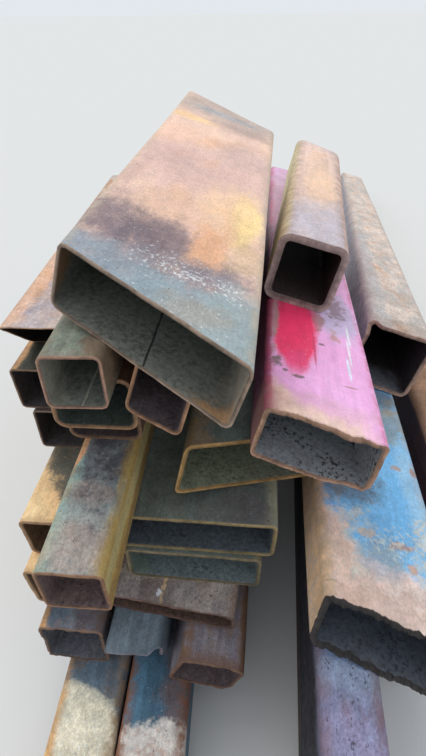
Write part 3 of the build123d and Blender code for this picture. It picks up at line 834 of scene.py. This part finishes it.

# The long square section bridges the column and the wide ones. Its top is mauve-grey and green along the
# left, with a dark purple zone and painted shade where it goes under, and its right side has rusted
# ochre.
lay_section(
    "long_square",
    steel(
        "mauve-grey top, ochre side",
        coat("a0aaa6", "6e747a", "86746e", "d0d2cc", Blotches=13.0, Rust_Share=0.45,
             Speck_Share=0.3, Pits=0.45, Streaks=0.35, Grain=0.4, Seed=47.0),
        bore("7c6a62", "685660", Rust_Share=0.6, Bore_Pits=0.5),
        wear("8c6850", "a8925c", Rim_Reach=0.002, Edge_Wear=0.5), [
            # Green along the top's left edge, tan and grey in bands, a dark rough zone with painted shade
            # where it goes under, and a tan strip of painted sunlight on the left.
            patch((0.0, 0.06, 0.076), (0.016, 0.16, 0.03), "8cb0a6", 0.8, 0.8, 24.0, Soft=0.5),
            patch((0.045, 0.04, 0.076), (0.045, 0.035, 0.02), "baa498", 0.6, 0.9, 24.0, Soft=0.5),
            patch((0.035, 0.085, 0.076), (0.05, 0.02, 0.02), "98a4a2", 0.6, 0.9, 24.0, Soft=0.5),
            patch((0.03, 0.11, 0.076), (0.05, 0.014, 0.02), "a88e84", 0.5, 0.9, 24.0, Soft=0.5),
            patch((0.05, 0.28, 0.076), (0.05, 0.16, 0.02), "48444e", 0.85, 0.6, 26.0, Soft=0.3),
            patch((0.0, 0.19, 0.076), (0.012, 0.05, 0.03), "d09870", 0.95, 0.2, 30.0, Soft=0.1),
            # The ochre side, paler above and browner below, drawn out in streaks.
            patch((0.080, 0.3, 0.035), (0.02, 3.0, 0.052), "b0904c", 0.95, 0.5, 30.0, Drawn=0.2),
            patch((0.080, 0.3, 0.05), (0.006, 3.0, 0.014), "c0b888", 0.6, 0.8, 40.0, Drawn=0.15),
            patch((0.080, 0.3, 0.02), (0.006, 3.0, 0.012), "846848", 0.6, 0.8, 40.0, Drawn=0.15),
        ]),
    "mauve_steel", turn=(1.0, 0, 0), cuts=(0, 1, 0), Width=0.080, Height=0.076, Wall=0.005,
    Corner=0.008, Ragged=0.0009, Seed=14.0,
)

# Two thick sections with round corners lie on it, one on the other, with a small square one on
# them. Their rims are brown where the saw went through.
maroon_coat = coat("66504a", "453634", "6e4c3a", Blotches=10.0, Rust_Share=0.5, Pits=0.3,
                   Streaks=0.2, Grain=0.35)
THICK = {"Width": 0.102, "Height": 0.076, "Wall": 0.006, "Corner": 0.015}
lay_section(
    "thick_lower",
    steel("brown rust, purple bore", dict(maroon_coat, Seed=50.0), bore("4c4244", "5e463c"),
          wear("7c604c", "6e5642", Rim_Reach=0.002)),
    "maroon_steel", turn=(1.2, 0, 0), Seed=15.0, Ragged=0.0007, **THICK,
)
lay_section(
    "thick_upper",
    steel("brown rust, green bore", dict(maroon_coat, Seed=53.0), bore("4a5450", "4c4a3c"),
          wear("8c6c50", "7a6248", Rim_Reach=0.002)),
    "maroon_steel", turn=(1.2, 0, 0), cuts=(0, 2, 0), Seed=16.0, Ragged=0.0007, **THICK,
)
lay_section(
    "small_square",
    steel(
        "grey-green dust over rust",
        coat("8a9282", "687064", "76604e", Blotches=12.0, Rust_Share=0.4, Grain=0.35, Seed=56.0),
        bore("727872", "6c5c4a", "a4a494", Seam_At=0.036, Bore_Pits=0.15),
        wear("9a7866", "86705a", Rim_Reach=0.002), [
            patch((0.03, 0.0, 0.064), (0.05, 0.012, 0.02), "8c7468", 0.6, 0.7, 40.0, Soft=0.5),
            patch((0.064, 0.1, 0.05), (0.02, 0.5, 0.04), "7c6450", 0.8, 0.5, 20.0),
            patch((0.0, 0.0, 0.03), (0.02, 0.06, 0.05), "9c988a", 0.7, 0.4, 22.0, Inside=1.0),
        ]),
    "slate_steel", turn=(1.4, 0, 0), cuts=(2, 2.5, 0), Width=0.064, Height=0.064, Wall=0.0035,
    Corner=0.008, Ragged=0.0006, Seed=17.0,
)

# The tall section stands on edge at the right and carries the blue one. Its top was primed mauve, and its
# left side is painted nearly black, a painted shadow.
lay_section(
    "edge_tall",
    steel(
        "mauve primer with rust specks",
        coat("8e98bc", "706c8c", "6e565e", Blotches=10.0, Rust_Share=0.4, Speck_Share=0.3, Pits=0.8,
             Streaks=0.2, Grain=0.4, Seed=60.0),
        bore("3c3a40", "54443e"), wear("8a7884", "86707a", Rim_Reach=0.003), [
            patch((0.05, 0.16, 0.203), (0.05, 0.05, 0.02), "90a2b6", 0.6, 0.6, 18.0, Soft=0.5),
            patch((0.03, 0.06, 0.203), (0.05, 0.05, 0.02), "a08aa6", 0.4, 0.8, 18.0, Soft=0.5),
            # Painted shadow: the left side near black.
            patch((0.0, 0.3, 0.09), (0.008, 3.0, 0.103), "1f1c1d", 0.97, 0.1, 20.0),
        ]),
    "mauve_steel", turn=(-2.0, 0, 0), Width=0.080, Height=0.203, Corner=0.012, Ragged=0.001,
    Seed=18.0,
)

# The blue section was torch-cut, so its rim is ragged. The paint has gone from its front and left,
# and has chipped to cream at the edge of the rust.
lay_section(
    "blue_rolled",
    steel(
        "worn blue paint",
        coat("84c8f4", "5ca8de", "7c9cb8", "e6eef2", Blotches=9.0, Rust_Share=0.12, Speck_Share=0.35,
             Pits=0.25, Streaks=0.15, Grain=0.22, Mottle=0.12, Seed=63.0),
        bore("47505a", "504a50", Rust_Share=0.35, Bore_Pits=0.4),
        wear("2e2827", "b0a08e", Rim_Reach=0.002, Rim_Band=0.3), [
            # Cream shows where the paint thins out, and the front and left are bare and tan.
            patch((0.01, 0.0, 0.076), (0.07, 0.20, 0.03), "ccccc0", 0.8, 0.7, 26.0, Soft=0.3),
            patch((0.09, 0.0, 0.076), (0.15, 0.10, 0.03), "d0cec0", 0.8, 0.7, 28.0, Soft=0.3),
            patch((0.003, 0.0, 0.076), (0.05, 0.175, 0.03), "e2c2b0", 0.97, 0.3, 18.0, Soft=0.15),
            patch((0.07, 0.0, 0.076), (0.11, 0.076, 0.03), "e8cabc", 0.97, 0.35, 20.0, Soft=0.15),
            patch((0.15, 0.02, 0.076), (0.09, 0.042, 0.03), "dccac2", 0.95, 0.6, 22.0, Soft=0.2),
            patch((0.08, 0.02, 0.076), (0.08, 0.03, 0.03), "c4a494", 0.6, 1.0, 40.0, Soft=0.4),
            # A dark stretch of painted shadow, cast by the pink section, and a scuffed pale strip lie
            # beside the pink section.
            patch((0.035, 0.215, 0.076), (0.06, 0.038, 0.03), "5c6672", 0.85, 0.6, 20.0, Soft=0.4),
            patch((0.158, 0.22, 0.076), (0.018, 0.11, 0.03), "b4d0dc", 0.45, 0.5, 20.0, Soft=0.5),
            # Thin paint, chips and cream flakes follow the edge of the rust.
            patch((0.085, 0.10, 0.076), (0.032, 0.028, 0.02), "6c9cc0", 0.6, 0.5, 26.0, Soft=0.5),
            patch((0.068, 0.13, 0.076), (0.014, 0.007, 0.02), "ccb8a4", 0.85, 0.7, 60.0),
            patch((0.117, 0.118, 0.076), (0.018, 0.006, 0.02), "b08c7a", 0.9, 0.8, 60.0),
            patch((0.126, 0.087, 0.076), (0.007, 0.008, 0.02), "c4a08c", 0.9, 0.8, 60.0),
            patch((0.10, 0.12, 0.076), (0.08, 0.06, 0.03), "d4d8cc", 0.6, 1.0, 130.0, Thin=0.9, Soft=0.2),
            # A crack has opened at the left corner.
            patch((0.005, 0.05, 0.076), (0.009, 0.0013, 0.02), "4a3c36", 0.8, 0.3, 90.0),
            patch((0.0, 0.038, 0.076), (0.0013, 0.02, 0.02), "54443c", 0.7, 0.5, 90.0),
            # Further back the paint is stained and chipped.
            patch((0.14, 0.44, 0.076), (0.03, 0.03, 0.03), "6c7078", 0.75, 0.8, 40.0),
            patch((0.152, 0.40, 0.076), (0.012, 0.012, 0.02), "ccb49c", 0.8, 0.9, 70.0),
            patch((0.168, 0.262, 0.076), (0.005, 0.009, 0.02), "a88470", 0.85, 0.8, 90.0),
            patch((0.139, 0.264, 0.076), (0.008, 0.006, 0.02), "b49480", 0.8, 0.9, 90.0),
            patch((0.155, 0.13, 0.076), (0.025, 0.05, 0.02), "d4cebc", 0.7, 1.0, 90.0, Thin=0.5),
            patch((0.15, 0.38, 0.076), (0.05, 0.05, 0.03), "92958a", 0.7, 0.8, 26.0),
            # The left side is tan.
            patch((0.0, 0.2, 0.035), (0.016, 1.0, 0.05), "ecc49a", 0.95, 0.4, 40.0),
        ], bump=0.7, rough=-0.1, sheen=0.4),
    "blue_paint", turn=(-1.2, 0, 12.0), cuts=(-13, 22, 0), Width=0.178, Height=0.076, Wall=0.008,
    Corner=0.013, Ragged=0.0062, Point_Gap=0.0022, Seed=19.0,
)

# One wide section leans from the stack down onto the blue one. It was sawn on the skew, and keeps
# its dark green scale.
lay_section(
    "wide_tilted",
    steel(
        "dark green scale, ochre rim",
        coat("64746e", "444f4b", "6e5438", "b8bcae", Blotches=9.0, Rust_Share=0.3, Speck_Share=0.3,
             Pits=0.3, Streaks=0.2, Grain=0.35, Seed=67.0),
        bore("747c68", "463e30", Bore_Pits=0.3), wear("947448", "7c6444", Rim_Reach=0.002), [
            patch((0.01, 0.02, 0.076), (0.03, 0.07, 0.03), "7c6244", 0.6, 0.9, 40.0, Soft=0.5),
            patch((0.03, 0.01, 0.076), (0.1, 0.008, 0.03), "8c7450", 0.7, 0.8, 50.0, Soft=0.5),
            patch((0.1, 0.06, 0.0), (0.1, 0.08, 0.02), "9aac92", 0.8, 1.0, 160.0, Thin=1.3,
                  Soft=0.1, Inside=1.0),
        ]),
    "dark_steel", turn=(-0.8, 0, 12.4), cuts=(23, 16, 0), Width=0.254, Height=0.076,
    Corner=0.010, Ragged=0.0006, Seed=20.0,
)

# The pink section lies flush on it. The paint has faded from magenta, a burst of red went over it
# beside the thick section, and the torch left its rim ragged and rusty.
lay_section(
    "pink_rolled",
    steel(
        "faded magenta paint",
        coat("fbc0f2", "eea8dc", "dcb0bc", "fbf4fa", Blotches=8.0, Rust_Share=0.22, Speck_Share=0.3,
             Pits=0.15, Streaks=0.12, Grain=0.12, Mottle=0.06, Seed=71.0),
        bore("92979c", "64585a", Rust_Share=0.3, Bore_Pits=0.85),
        wear("a07c66", "c45c7c", Rim_Reach=0.004, Edge_Wear=0.7), [
            # Further back the paint is greyer, and beside the thick section lilac and scuffed.
            patch((0.08, 0.75, 0.08), (0.2, 0.34, 0.03), "c8a8b4", 0.85, 0.3, 10.0, Soft=0.4),
            patch((0.115, 0.29, 0.08), (0.034, 0.08, 0.03), "d0c4e4", 0.85, 0.6, 20.0, Drawn=0.5),
            patch((0.118, 0.31, 0.08), (0.022, 0.055, 0.03), "8a7078", 0.8, 0.9, 50.0, Thin=0.3),
            patch((0.084, 0.25, 0.08), (0.010, 0.026, 0.03), "a87c74", 0.8, 0.8, 40.0),
            # The burst of red thins out towards the mouth, with one run beside it.
            patch((0.045, 0.285, 0.08), (0.04, 0.05, 0.03), "ee3868", 0.95, 0.4, 24.0, Soft=0.3,
                  Holes=0.15, Drawn=0.35),
            patch((0.045, 0.235, 0.08), (0.034, 0.06, 0.03), "ff3c70", 1.0, 0.25, 24.0, Soft=0.2,
                  Holes=0.05, Drawn=0.35),
            patch((0.042, 0.18, 0.08), (0.031, 0.066, 0.03), "ff3c70", 1.0, 0.22, 24.0, Soft=0.2,
                  Holes=0.05, Drawn=0.35),
            patch((0.043, 0.125, 0.08), (0.018, 0.024, 0.03), "f4508a", 0.7, 0.6, 30.0, Soft=0.5,
                  Drawn=0.3),
            patch((0.0735, 0.17, 0.08), (0.0017, 0.042, 0.02), "c83a62", 0.75, 0.25, 60.0, Soft=0.5),
            # The left edge is rubbed, and the torn mouth has rust and burnt paint behind it.
            patch((0.009, 0.22, 0.08), (0.009, 0.07, 0.03), "a8948c", 0.85, 0.6, 26.0),
            patch((0.012, 0.02, 0.08), (0.028, 0.045, 0.03), "fadcc0", 0.85, 0.5, 18.0, Soft=0.5),
            patch((0.04, 0.0, 0.08), (0.11, 0.028, 0.03), "fadcc4", 0.9, 0.5, 22.0, Soft=0.5,
                  Drawn=0.6),
            patch((0.09, 0.035, 0.08), (0.06, 0.02, 0.03), "e0b4b8", 0.45, 0.8, 30.0, Soft=0.6),
            patch((0.002, 0.16, 0.076), (0.006, 0.3, 0.02), "cc4c6c", 0.6, 0.6, 20.0),
            # Chips and a scratch.
            patch((0.014, 0.119, 0.08), (0.009, 0.012, 0.02), "6c6258", 0.85, 1.0, 90.0, Thin=0.2),
            patch((0.028, 0.10, 0.08), (0.005, 0.003, 0.02), "6c5c58", 0.8, 0.8, 110.0),
            patch((0.046, 0.092, 0.08), (0.008, 0.0035, 0.02), "6a5c54", 0.85, 0.8, 110.0),
            patch((0.119, 0.096, 0.08), (0.013, 0.0018, 0.02), "a88478", 0.7, 0.5, 90.0),
            patch((0.085, 0.187, 0.08), (0.005, 0.003, 0.02), "7a5c5c", 0.8, 0.7, 110.0),
            patch((0.11, 0.217, 0.08), (0.007, 0.016, 0.02), "c48c74", 0.65, 0.9, 70.0),
            # Three white scrapes in a line.
            patch((0.133, 0.228, 0.08), (0.0019, 0.03, 0.02), "f4f6fd", 0.95, 0.2, 60.0, Soft=0.4),
            patch((0.129, 0.182, 0.08), (0.0018, 0.032, 0.02), "f4f6fd", 0.95, 0.2, 60.0, Soft=0.4),
            patch((0.1235, 0.137, 0.08), (0.0022, 0.028, 0.02), "e6f0fd", 0.95, 0.2, 60.0, Soft=0.4),
            # The left side is dark magenta, and rusty at the mouth.
            patch((0.0, 0.5, 0.03), (0.012, 2.0, 0.052), "602842", 0.96, 0.15, 20.0),
            patch((0.0, 0.02, 0.045), (0.03, 0.05, 0.07), "c0908a", 0.85, 0.4, 26.0, Soft=0.6),
        ], rough=-0.15, sheen=0.4),
    "pink_paint", turn=(-1.0, 0, 12.4), cuts=(-4, 6, 0), Width=0.160, Height=0.080, Wall=0.007,
    Corner=0.010, Ragged=0.0042, Point_Gap=0.0022, Seed=21.0, Notch_At=(0.0, 0.0, 0.080),
    Notch_Reach=0.12, Notch_Depth=0.012,
)

# The heavy square section lies on the pink one. It has the thickest wall in the heap, and its far
# end was cut on the skew.
lay_section(
    "heavy_square",
    steel(
        "tan-brown rust, lilac at the mouth",
        coat("f2d2c2", "ceb8b8", "e4b894", Blotches=6.0, Rust_Share=0.3, Speck_Share=0.2, Pits=0.15,
             Streaks=0.2, Grain=0.25, Mottle=0.09, Seed=75.0),
        bore("3a3030", "5a443e", Bore_Pits=0.6), wear("9c8c86", "a08474", Rim_Reach=0.003), [
            patch((0.06, 0.33, 0.114), (0.035, 0.22, 0.03), "f2c8a0", 0.6, 0.6, 10.0, Soft=0.6,
                  Drawn=0.3),
            patch((0.05, 0.04, 0.114), (0.1, 0.13, 0.03), "c2bcc8", 0.85, 0.5, 10.0, Soft=0.6,
                  Drawn=0.5),
            patch((0.0, 0.3, 0.075), (0.012, 2.0, 0.06), "d8cc98", 0.9, 0.4, 16.0, Soft=0.5,
                  Drawn=0.3),
            patch((0.112, 0.2, 0.108), (0.01, 1.0, 0.02), "dcb49c", 0.7, 0.4, 16.0, Soft=0.5),
        ], bump=0.4),
    "brown_rusted", turn=(-5.4, 0, 12.4), cuts=(-3, 3, -30), Width=0.114, Height=0.114,
    Wall=0.012, Corner=0.020, Ragged=0.0006, Seed=22.0,
)

# A small section has tipped over beside the small square one, under the edge of the top one. Its
# mouth was cut on the skew.
lay_section(
    "small_leaning",
    steel("purple-brown rust, small", dict(maroon_coat, Seed=79.0), bore("5a5258", "544440"),
          wear("987258", "84644c", Rim_Reach=0.002)),
    "maroon_steel", turn=(1.2, 0, 17.7), cuts=(-18, 16, 0), Width=0.064, Height=0.064, Wall=0.004,
    Corner=0.008, Ragged=0.0006, Seed=23.0,
)

# The widest section lies over them all, cut on the skew at both ends. Tan rust has grown over
# grey scale, which is bare and splashed with white near the mouth.
lay_section(
    "top_wide",
    steel(
        "tan rust over grey scale",
        coat("fcd6be", "e2bcb2", "e8b894", "eceae4", Blotches=4.5, Rust_Share=0.35, Speck_Share=0.6,
             Pits=0.2, Streaks=0.1, Grain=0.26, Mottle=0.07, Seed=83.0),
        bore("727670", "6a6054", Seam_At=0.11, Bore_Pits=0.2),
        wear("8c7868", "c4b49c", Rim_Reach=0.0015, Edge_Wear=0.7), [
            # The far end is greyer, with a pale orange band before it.
            patch((0.11, 0.69, 0.07), (0.14, 0.09, 0.03), "bcaaa0", 0.85, 0.25, 8.0, Soft=0.5, Holes=0.1),
            patch((0.10, 0.665, 0.07), (0.07, 0.02, 0.03), "a4acb4", 0.6, 0.5, 14.0, Soft=0.6),
            patch((0.14, 0.60, 0.07), (0.06, 0.03, 0.03), "ac9690", 0.6, 0.5, 12.0, Soft=0.6),
            patch((0.035, 0.575, 0.07), (0.05, 0.018, 0.03), "ffd49c", 0.8, 0.35, 14.0, Soft=0.5),
            # Clouds of darker and paler rust lie across the middle.
            patch((0.155, 0.445, 0.07), (0.05, 0.06, 0.03), "ccaea8", 0.6, 0.5, 10.0, Soft=0.6),
            patch((0.03, 0.335, 0.07), (0.045, 0.05, 0.03), "d0aea6", 0.55, 0.5, 12.0, Soft=0.6),
            patch((0.09, 0.30, 0.07), (0.05, 0.04, 0.03), "d2b0a6", 0.5, 0.6, 12.0, Soft=0.6),
            patch((0.03, 0.46, 0.07), (0.06, 0.05, 0.03), "ffcfb2", 0.5, 0.5, 10.0, Soft=0.6),
            # Yellow and orange rust runs down the right half.
            patch((0.176, 0.20, 0.07), (0.018, 0.085, 0.03), "ffe09a", 0.9, 0.6, 18.0, Soft=0.5,
                  Drawn=0.4, Holes=0.1),
            patch((0.15, 0.22, 0.07), (0.035, 0.07, 0.03), "fcd4a6", 0.6, 0.6, 16.0, Soft=0.6,
                  Drawn=0.4),
            patch((0.08, 0.17, 0.07), (0.05, 0.05, 0.03), "e8be9e", 0.55, 0.7, 16.0, Soft=0.6,
                  Drawn=0.35),
            # Purple-brown rust borders it, with a tongue of orange in between.
            patch((0.0, 0.21, 0.07), (0.03, 0.06, 0.03), "c4a29c", 0.6, 0.6, 16.0, Soft=0.6),
            patch((0.018, 0.095, 0.07), (0.055, 0.06, 0.03), "786a72", 0.85, 0.75, 14.0, Soft=0.6,
                  Drawn=0.6, Holes=0.15),
            patch((0.085, 0.076, 0.07), (0.05, 0.036, 0.03), "7c6e76", 0.85, 0.85, 18.0, Soft=0.5,
                  Drawn=0.6, Holes=0.15),
            patch((0.155, 0.045, 0.07), (0.04, 0.03, 0.03), "8a7a7e", 0.8, 0.7, 22.0, Soft=0.5),
            patch((0.139, 0.09, 0.07), (0.02, 0.05, 0.03), "ecb48c", 0.9, 0.6, 24.0, Soft=0.4,
                  Drawn=0.5, Holes=0.15),
            patch((0.178, 0.10, 0.07), (0.02, 0.05, 0.03), "d8b894", 0.7, 0.7, 20.0, Soft=0.5),
            # The scale is bare and grey at the mouth.
            patch((0.11, 0.015, 0.07), (0.10, 0.035, 0.03), "84808a", 0.8, 0.6, 18.0, Soft=0.5),
            patch((0.01, 0.0, 0.07), (0.06, 0.036, 0.03), "929eaa", 0.9, 0.45, 16.0, Soft=0.45),
            patch((0.07, -0.035, 0.07), (0.08, 0.048, 0.03), "8e9aa4", 0.9, 0.45, 16.0, Soft=0.4),
            patch((0.14, -0.065, 0.07), (0.09, 0.068, 0.03), "94a4ac", 0.95, 0.3, 16.0, Soft=0.3),
            patch((0.20, -0.085, 0.07), (0.06, 0.11, 0.03), "9caaac", 0.9, 0.4, 16.0, Soft=0.4),
            patch((0.14, -0.035, 0.07), (0.03, 0.02, 0.03), "a89a88", 0.5, 0.8, 22.0, Soft=0.5),
            # White spatter is thickest where the rust ends.
            patch((0.13, 0.022, 0.07), (0.075, 0.034, 0.03), "dde0e4", 0.85, 1.0, 190.0, Thin=1.05,
                  Soft=0.1, Holes=0.3),
            patch((0.17, 0.015, 0.07), (0.05, 0.045, 0.03), "d8dcdc", 0.8, 1.0, 210.0, Thin=1.1,
                  Soft=0.1, Holes=0.2),
            patch((0.10, 0.03, 0.07), (0.14, 0.09, 0.03), "dcdee0", 0.8, 1.0, 240.0, Thin=1.2,
                  Soft=0.1, Holes=0.2),
            patch((0.10, -0.05, 0.07), (0.16, 0.09, 0.03), "ccd0cc", 0.7, 1.0, 260.0, Thin=1.3,
                  Soft=0.1, Holes=0.2),
            # Rust has started inside the mouth.
            patch((0.0, 0.0, 0.045), (0.02, 0.05, 0.03), "86623e", 0.8, 0.4, 20.0, Inside=1.0,
                  Soft=0.5),
            patch((0.203, -0.08, 0.035), (0.02, 0.09, 0.04), "9a8e7e", 0.7, 0.5, 20.0, Inside=1.0,
                  Soft=0.5),
            patch((0.19, -0.085, 0.0), (0.03, 0.016, 0.02), "a87c50", 0.7, 0.8, 40.0, Inside=1.0,
                  Soft=0.5),
        ], bump=0.4),
    "brown_rusted", turn=(-2.0, 1.8, 17.7), cuts=(-25.7, 7.7, -24.0), Width=0.203, Height=0.070,
    Wall=0.004, Corner=0.009, Ragged=0.0007, Seed=24.0,
)

# The long brown section leans from the blue one down to the ground behind. Its mouth's left
# corner is torn.
lay_section(
    "long_lean",
    steel(
        "tan-brown rust, pitted",
        coat("e6d2c4", "b6b2ae", "d4aa8a", "e0d8d0", Blotches=12.0, Rust_Share=0.4, Speck_Share=0.35,
             Pits=0.55, Streaks=0.15, Grain=0.5, Seed=87.0),
        bore("3e3a3a", "4e4440", Bore_Pits=0.5), wear("a88a7a", "a89690", Rim_Reach=0.003), [
            patch((0.02, 0.4, 0.127), (0.02, 0.5, 0.03), "b4b4b8", 0.6, 0.6, 12.0, Soft=0.5,
                  Drawn=0.3),
            patch((0.07, 0.02, 0.127), (0.08, 0.03, 0.03), "a89488", 0.6, 0.8, 30.0, Soft=0.5),
            patch((0.0, 1.0, 0.055), (0.012, 3.0, 0.07), "82808c", 0.93, 0.2, 20.0, Soft=0.4),
            patch((0.06, 0.03, 0.0), (0.06, 0.05, 0.02), "7c8088", 0.7, 0.6, 26.0, Inside=1.0),
        ], bump=0.8),
    "brown_rusted", turn=(-7.4, -8.6, 14.0), Width=0.127, Height=0.127, Wall=0.008, Corner=0.015,
    Ragged=0.003, Notch_At=(0.004, 0.0, 0.122), Notch_Reach=0.02, Notch_Depth=0.016,
    Point_Gap=0.003, Seed=25.0,
)

# One more section stands on edge on the ground at the far right. Its side is maroon, and its top tan.
lay_section(
    "right_tall",
    steel(
        "maroon side, tan top",
        coat("5c4650", "3e2e34", "6a4a40", Blotches=8.0, Streaks=0.5, Seed=91.0),
        bore("3c3434", "54443e"), wear("80645a", "8a6a58"), [
            patch((0.05, 0.3, 0.305), (0.2, 2.0, 0.014), "b08a6e", 0.9, 0.3, 16.0),
        ]),
    "maroon_steel", Width=0.102, Height=0.305, Corner=0.012, Point_Gap=0.006, Seed=26.0,
)

# The unseen bearers inside the heap are plain dark sections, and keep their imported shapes.
bearer = bpy.data.materials.new("plain dark steel")
bearer.use_nodes = True
tree = bearer.node_tree
spot = wire(tree, "ShaderNodeTexCoord").outputs["Object"]
rusty = wire(tree, "ShaderNodeTexNoise", spot, None, 14.0, 8.0, 0.65).outputs["Fac"]
tone = blend(tree, ramp(tree, rusty, 0.4, 0.6), paint("2c2a2a"), paint("5a4234"))
shader = tree.nodes["Principled BSDF"]
tree.links.new(tone, shader.inputs["Base Color"])
tree.links.new(ramp(tree, rusty, 0.3, 0.7, 0.55, 0.85), shader.inputs["Roughness"])
relief = wire(tree, "ShaderNodeBump", 0.3, 0.002, None, rusty)
tree.links.new(relief.outputs["Normal"], shader.inputs["Normal"])
for node in ("edge_base", "blue_prop", "short_prop", "flat_prop", "leaning_prop", "top_prop"):
    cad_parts[node].data.materials.clear()
    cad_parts[node].data.materials.append(bearer)

# The camera stands over the heap's open end and looks down along it, at the photograph's angle.
CAMERA_PLACE = (-0.1387, -1.5370, 0.945)
CAMERA_YAW = 5.5
CAMERA_DOWN = 39.2
CAMERA_ROLL = -0.8
CAMERA_LENS = 21.9
camera = bpy.data.objects.new("camera", bpy.data.cameras.new("camera"))
camera.data.lens = CAMERA_LENS
camera.data.sensor_fit = "AUTO"
camera.data.sensor_width = 36.0
camera.data.clip_start = 0.01
aim = Matrix.Rotation(math.radians(CAMERA_YAW), 4, "Z")
aim = aim @ Matrix.Rotation(math.radians(90 - CAMERA_DOWN), 4, "X")
aim = aim @ Matrix.Rotation(math.radians(CAMERA_ROLL), 4, "Z")
camera.matrix_world = Matrix.Translation(CAMERA_PLACE) @ aim
scene.collection.objects.link(camera)
scene.camera = camera

# A plain pale floor and soft studio light: one broad lamp high behind, and pale surroundings.
HALF_FLOOR = 60.0
FLOOR_LEVEL = -0.0005
FLOOR_COLOUR = (0.70, 0.70, 0.69, 1)
SURROUNDINGS_COLOUR = (0.9, 0.95, 1.0, 1)
SURROUNDINGS_STRENGTH = 0.85
LAMP_STRENGTH = 1.2
LAMP_SPREAD = 35
LAMP_COLOUR = (1.0, 0.97, 0.93)
LAMP_DIRECTION = (0.32, -0.42, -1.0)
floor_mesh = bpy.data.meshes.new("floor")
corners = [(x * HALF_FLOOR, y * HALF_FLOOR, FLOOR_LEVEL) for x, y in ((-1, -1), (1, -1), (1, 1), (-1, 1))]
floor_mesh.from_pydata(corners, [], [(0, 1, 2, 3)])
floor = bpy.data.objects.new("floor", floor_mesh)
scene.collection.objects.link(floor)
pale = bpy.data.materials.new("pale floor")
pale.use_nodes = True
matt = pale.node_tree.nodes["Principled BSDF"].inputs
matt["Base Color"].default_value = FLOOR_COLOUR
matt["Roughness"].default_value = 1.0
matt["Specular IOR Level"].default_value = 0.0
floor_mesh.materials.append(pale)
world = bpy.data.worlds.new("studio")
world.use_nodes = True
background = world.node_tree.nodes["Background"].inputs
background["Color"].default_value = SURROUNDINGS_COLOUR
background["Strength"].default_value = SURROUNDINGS_STRENGTH
scene.world = world
lamp = bpy.data.objects.new("wide soft lamp", bpy.data.lights.new("wide soft lamp", "SUN"))
lamp.data.angle = math.radians(LAMP_SPREAD)
lamp.data.energy = LAMP_STRENGTH
lamp.data.color = LAMP_COLOUR
lamp.rotation_euler = Vector(LAMP_DIRECTION).to_track_quat("-Z", "Y").to_euler()
scene.collection.objects.link(lamp)
scene.view_settings.view_transform = "Standard"
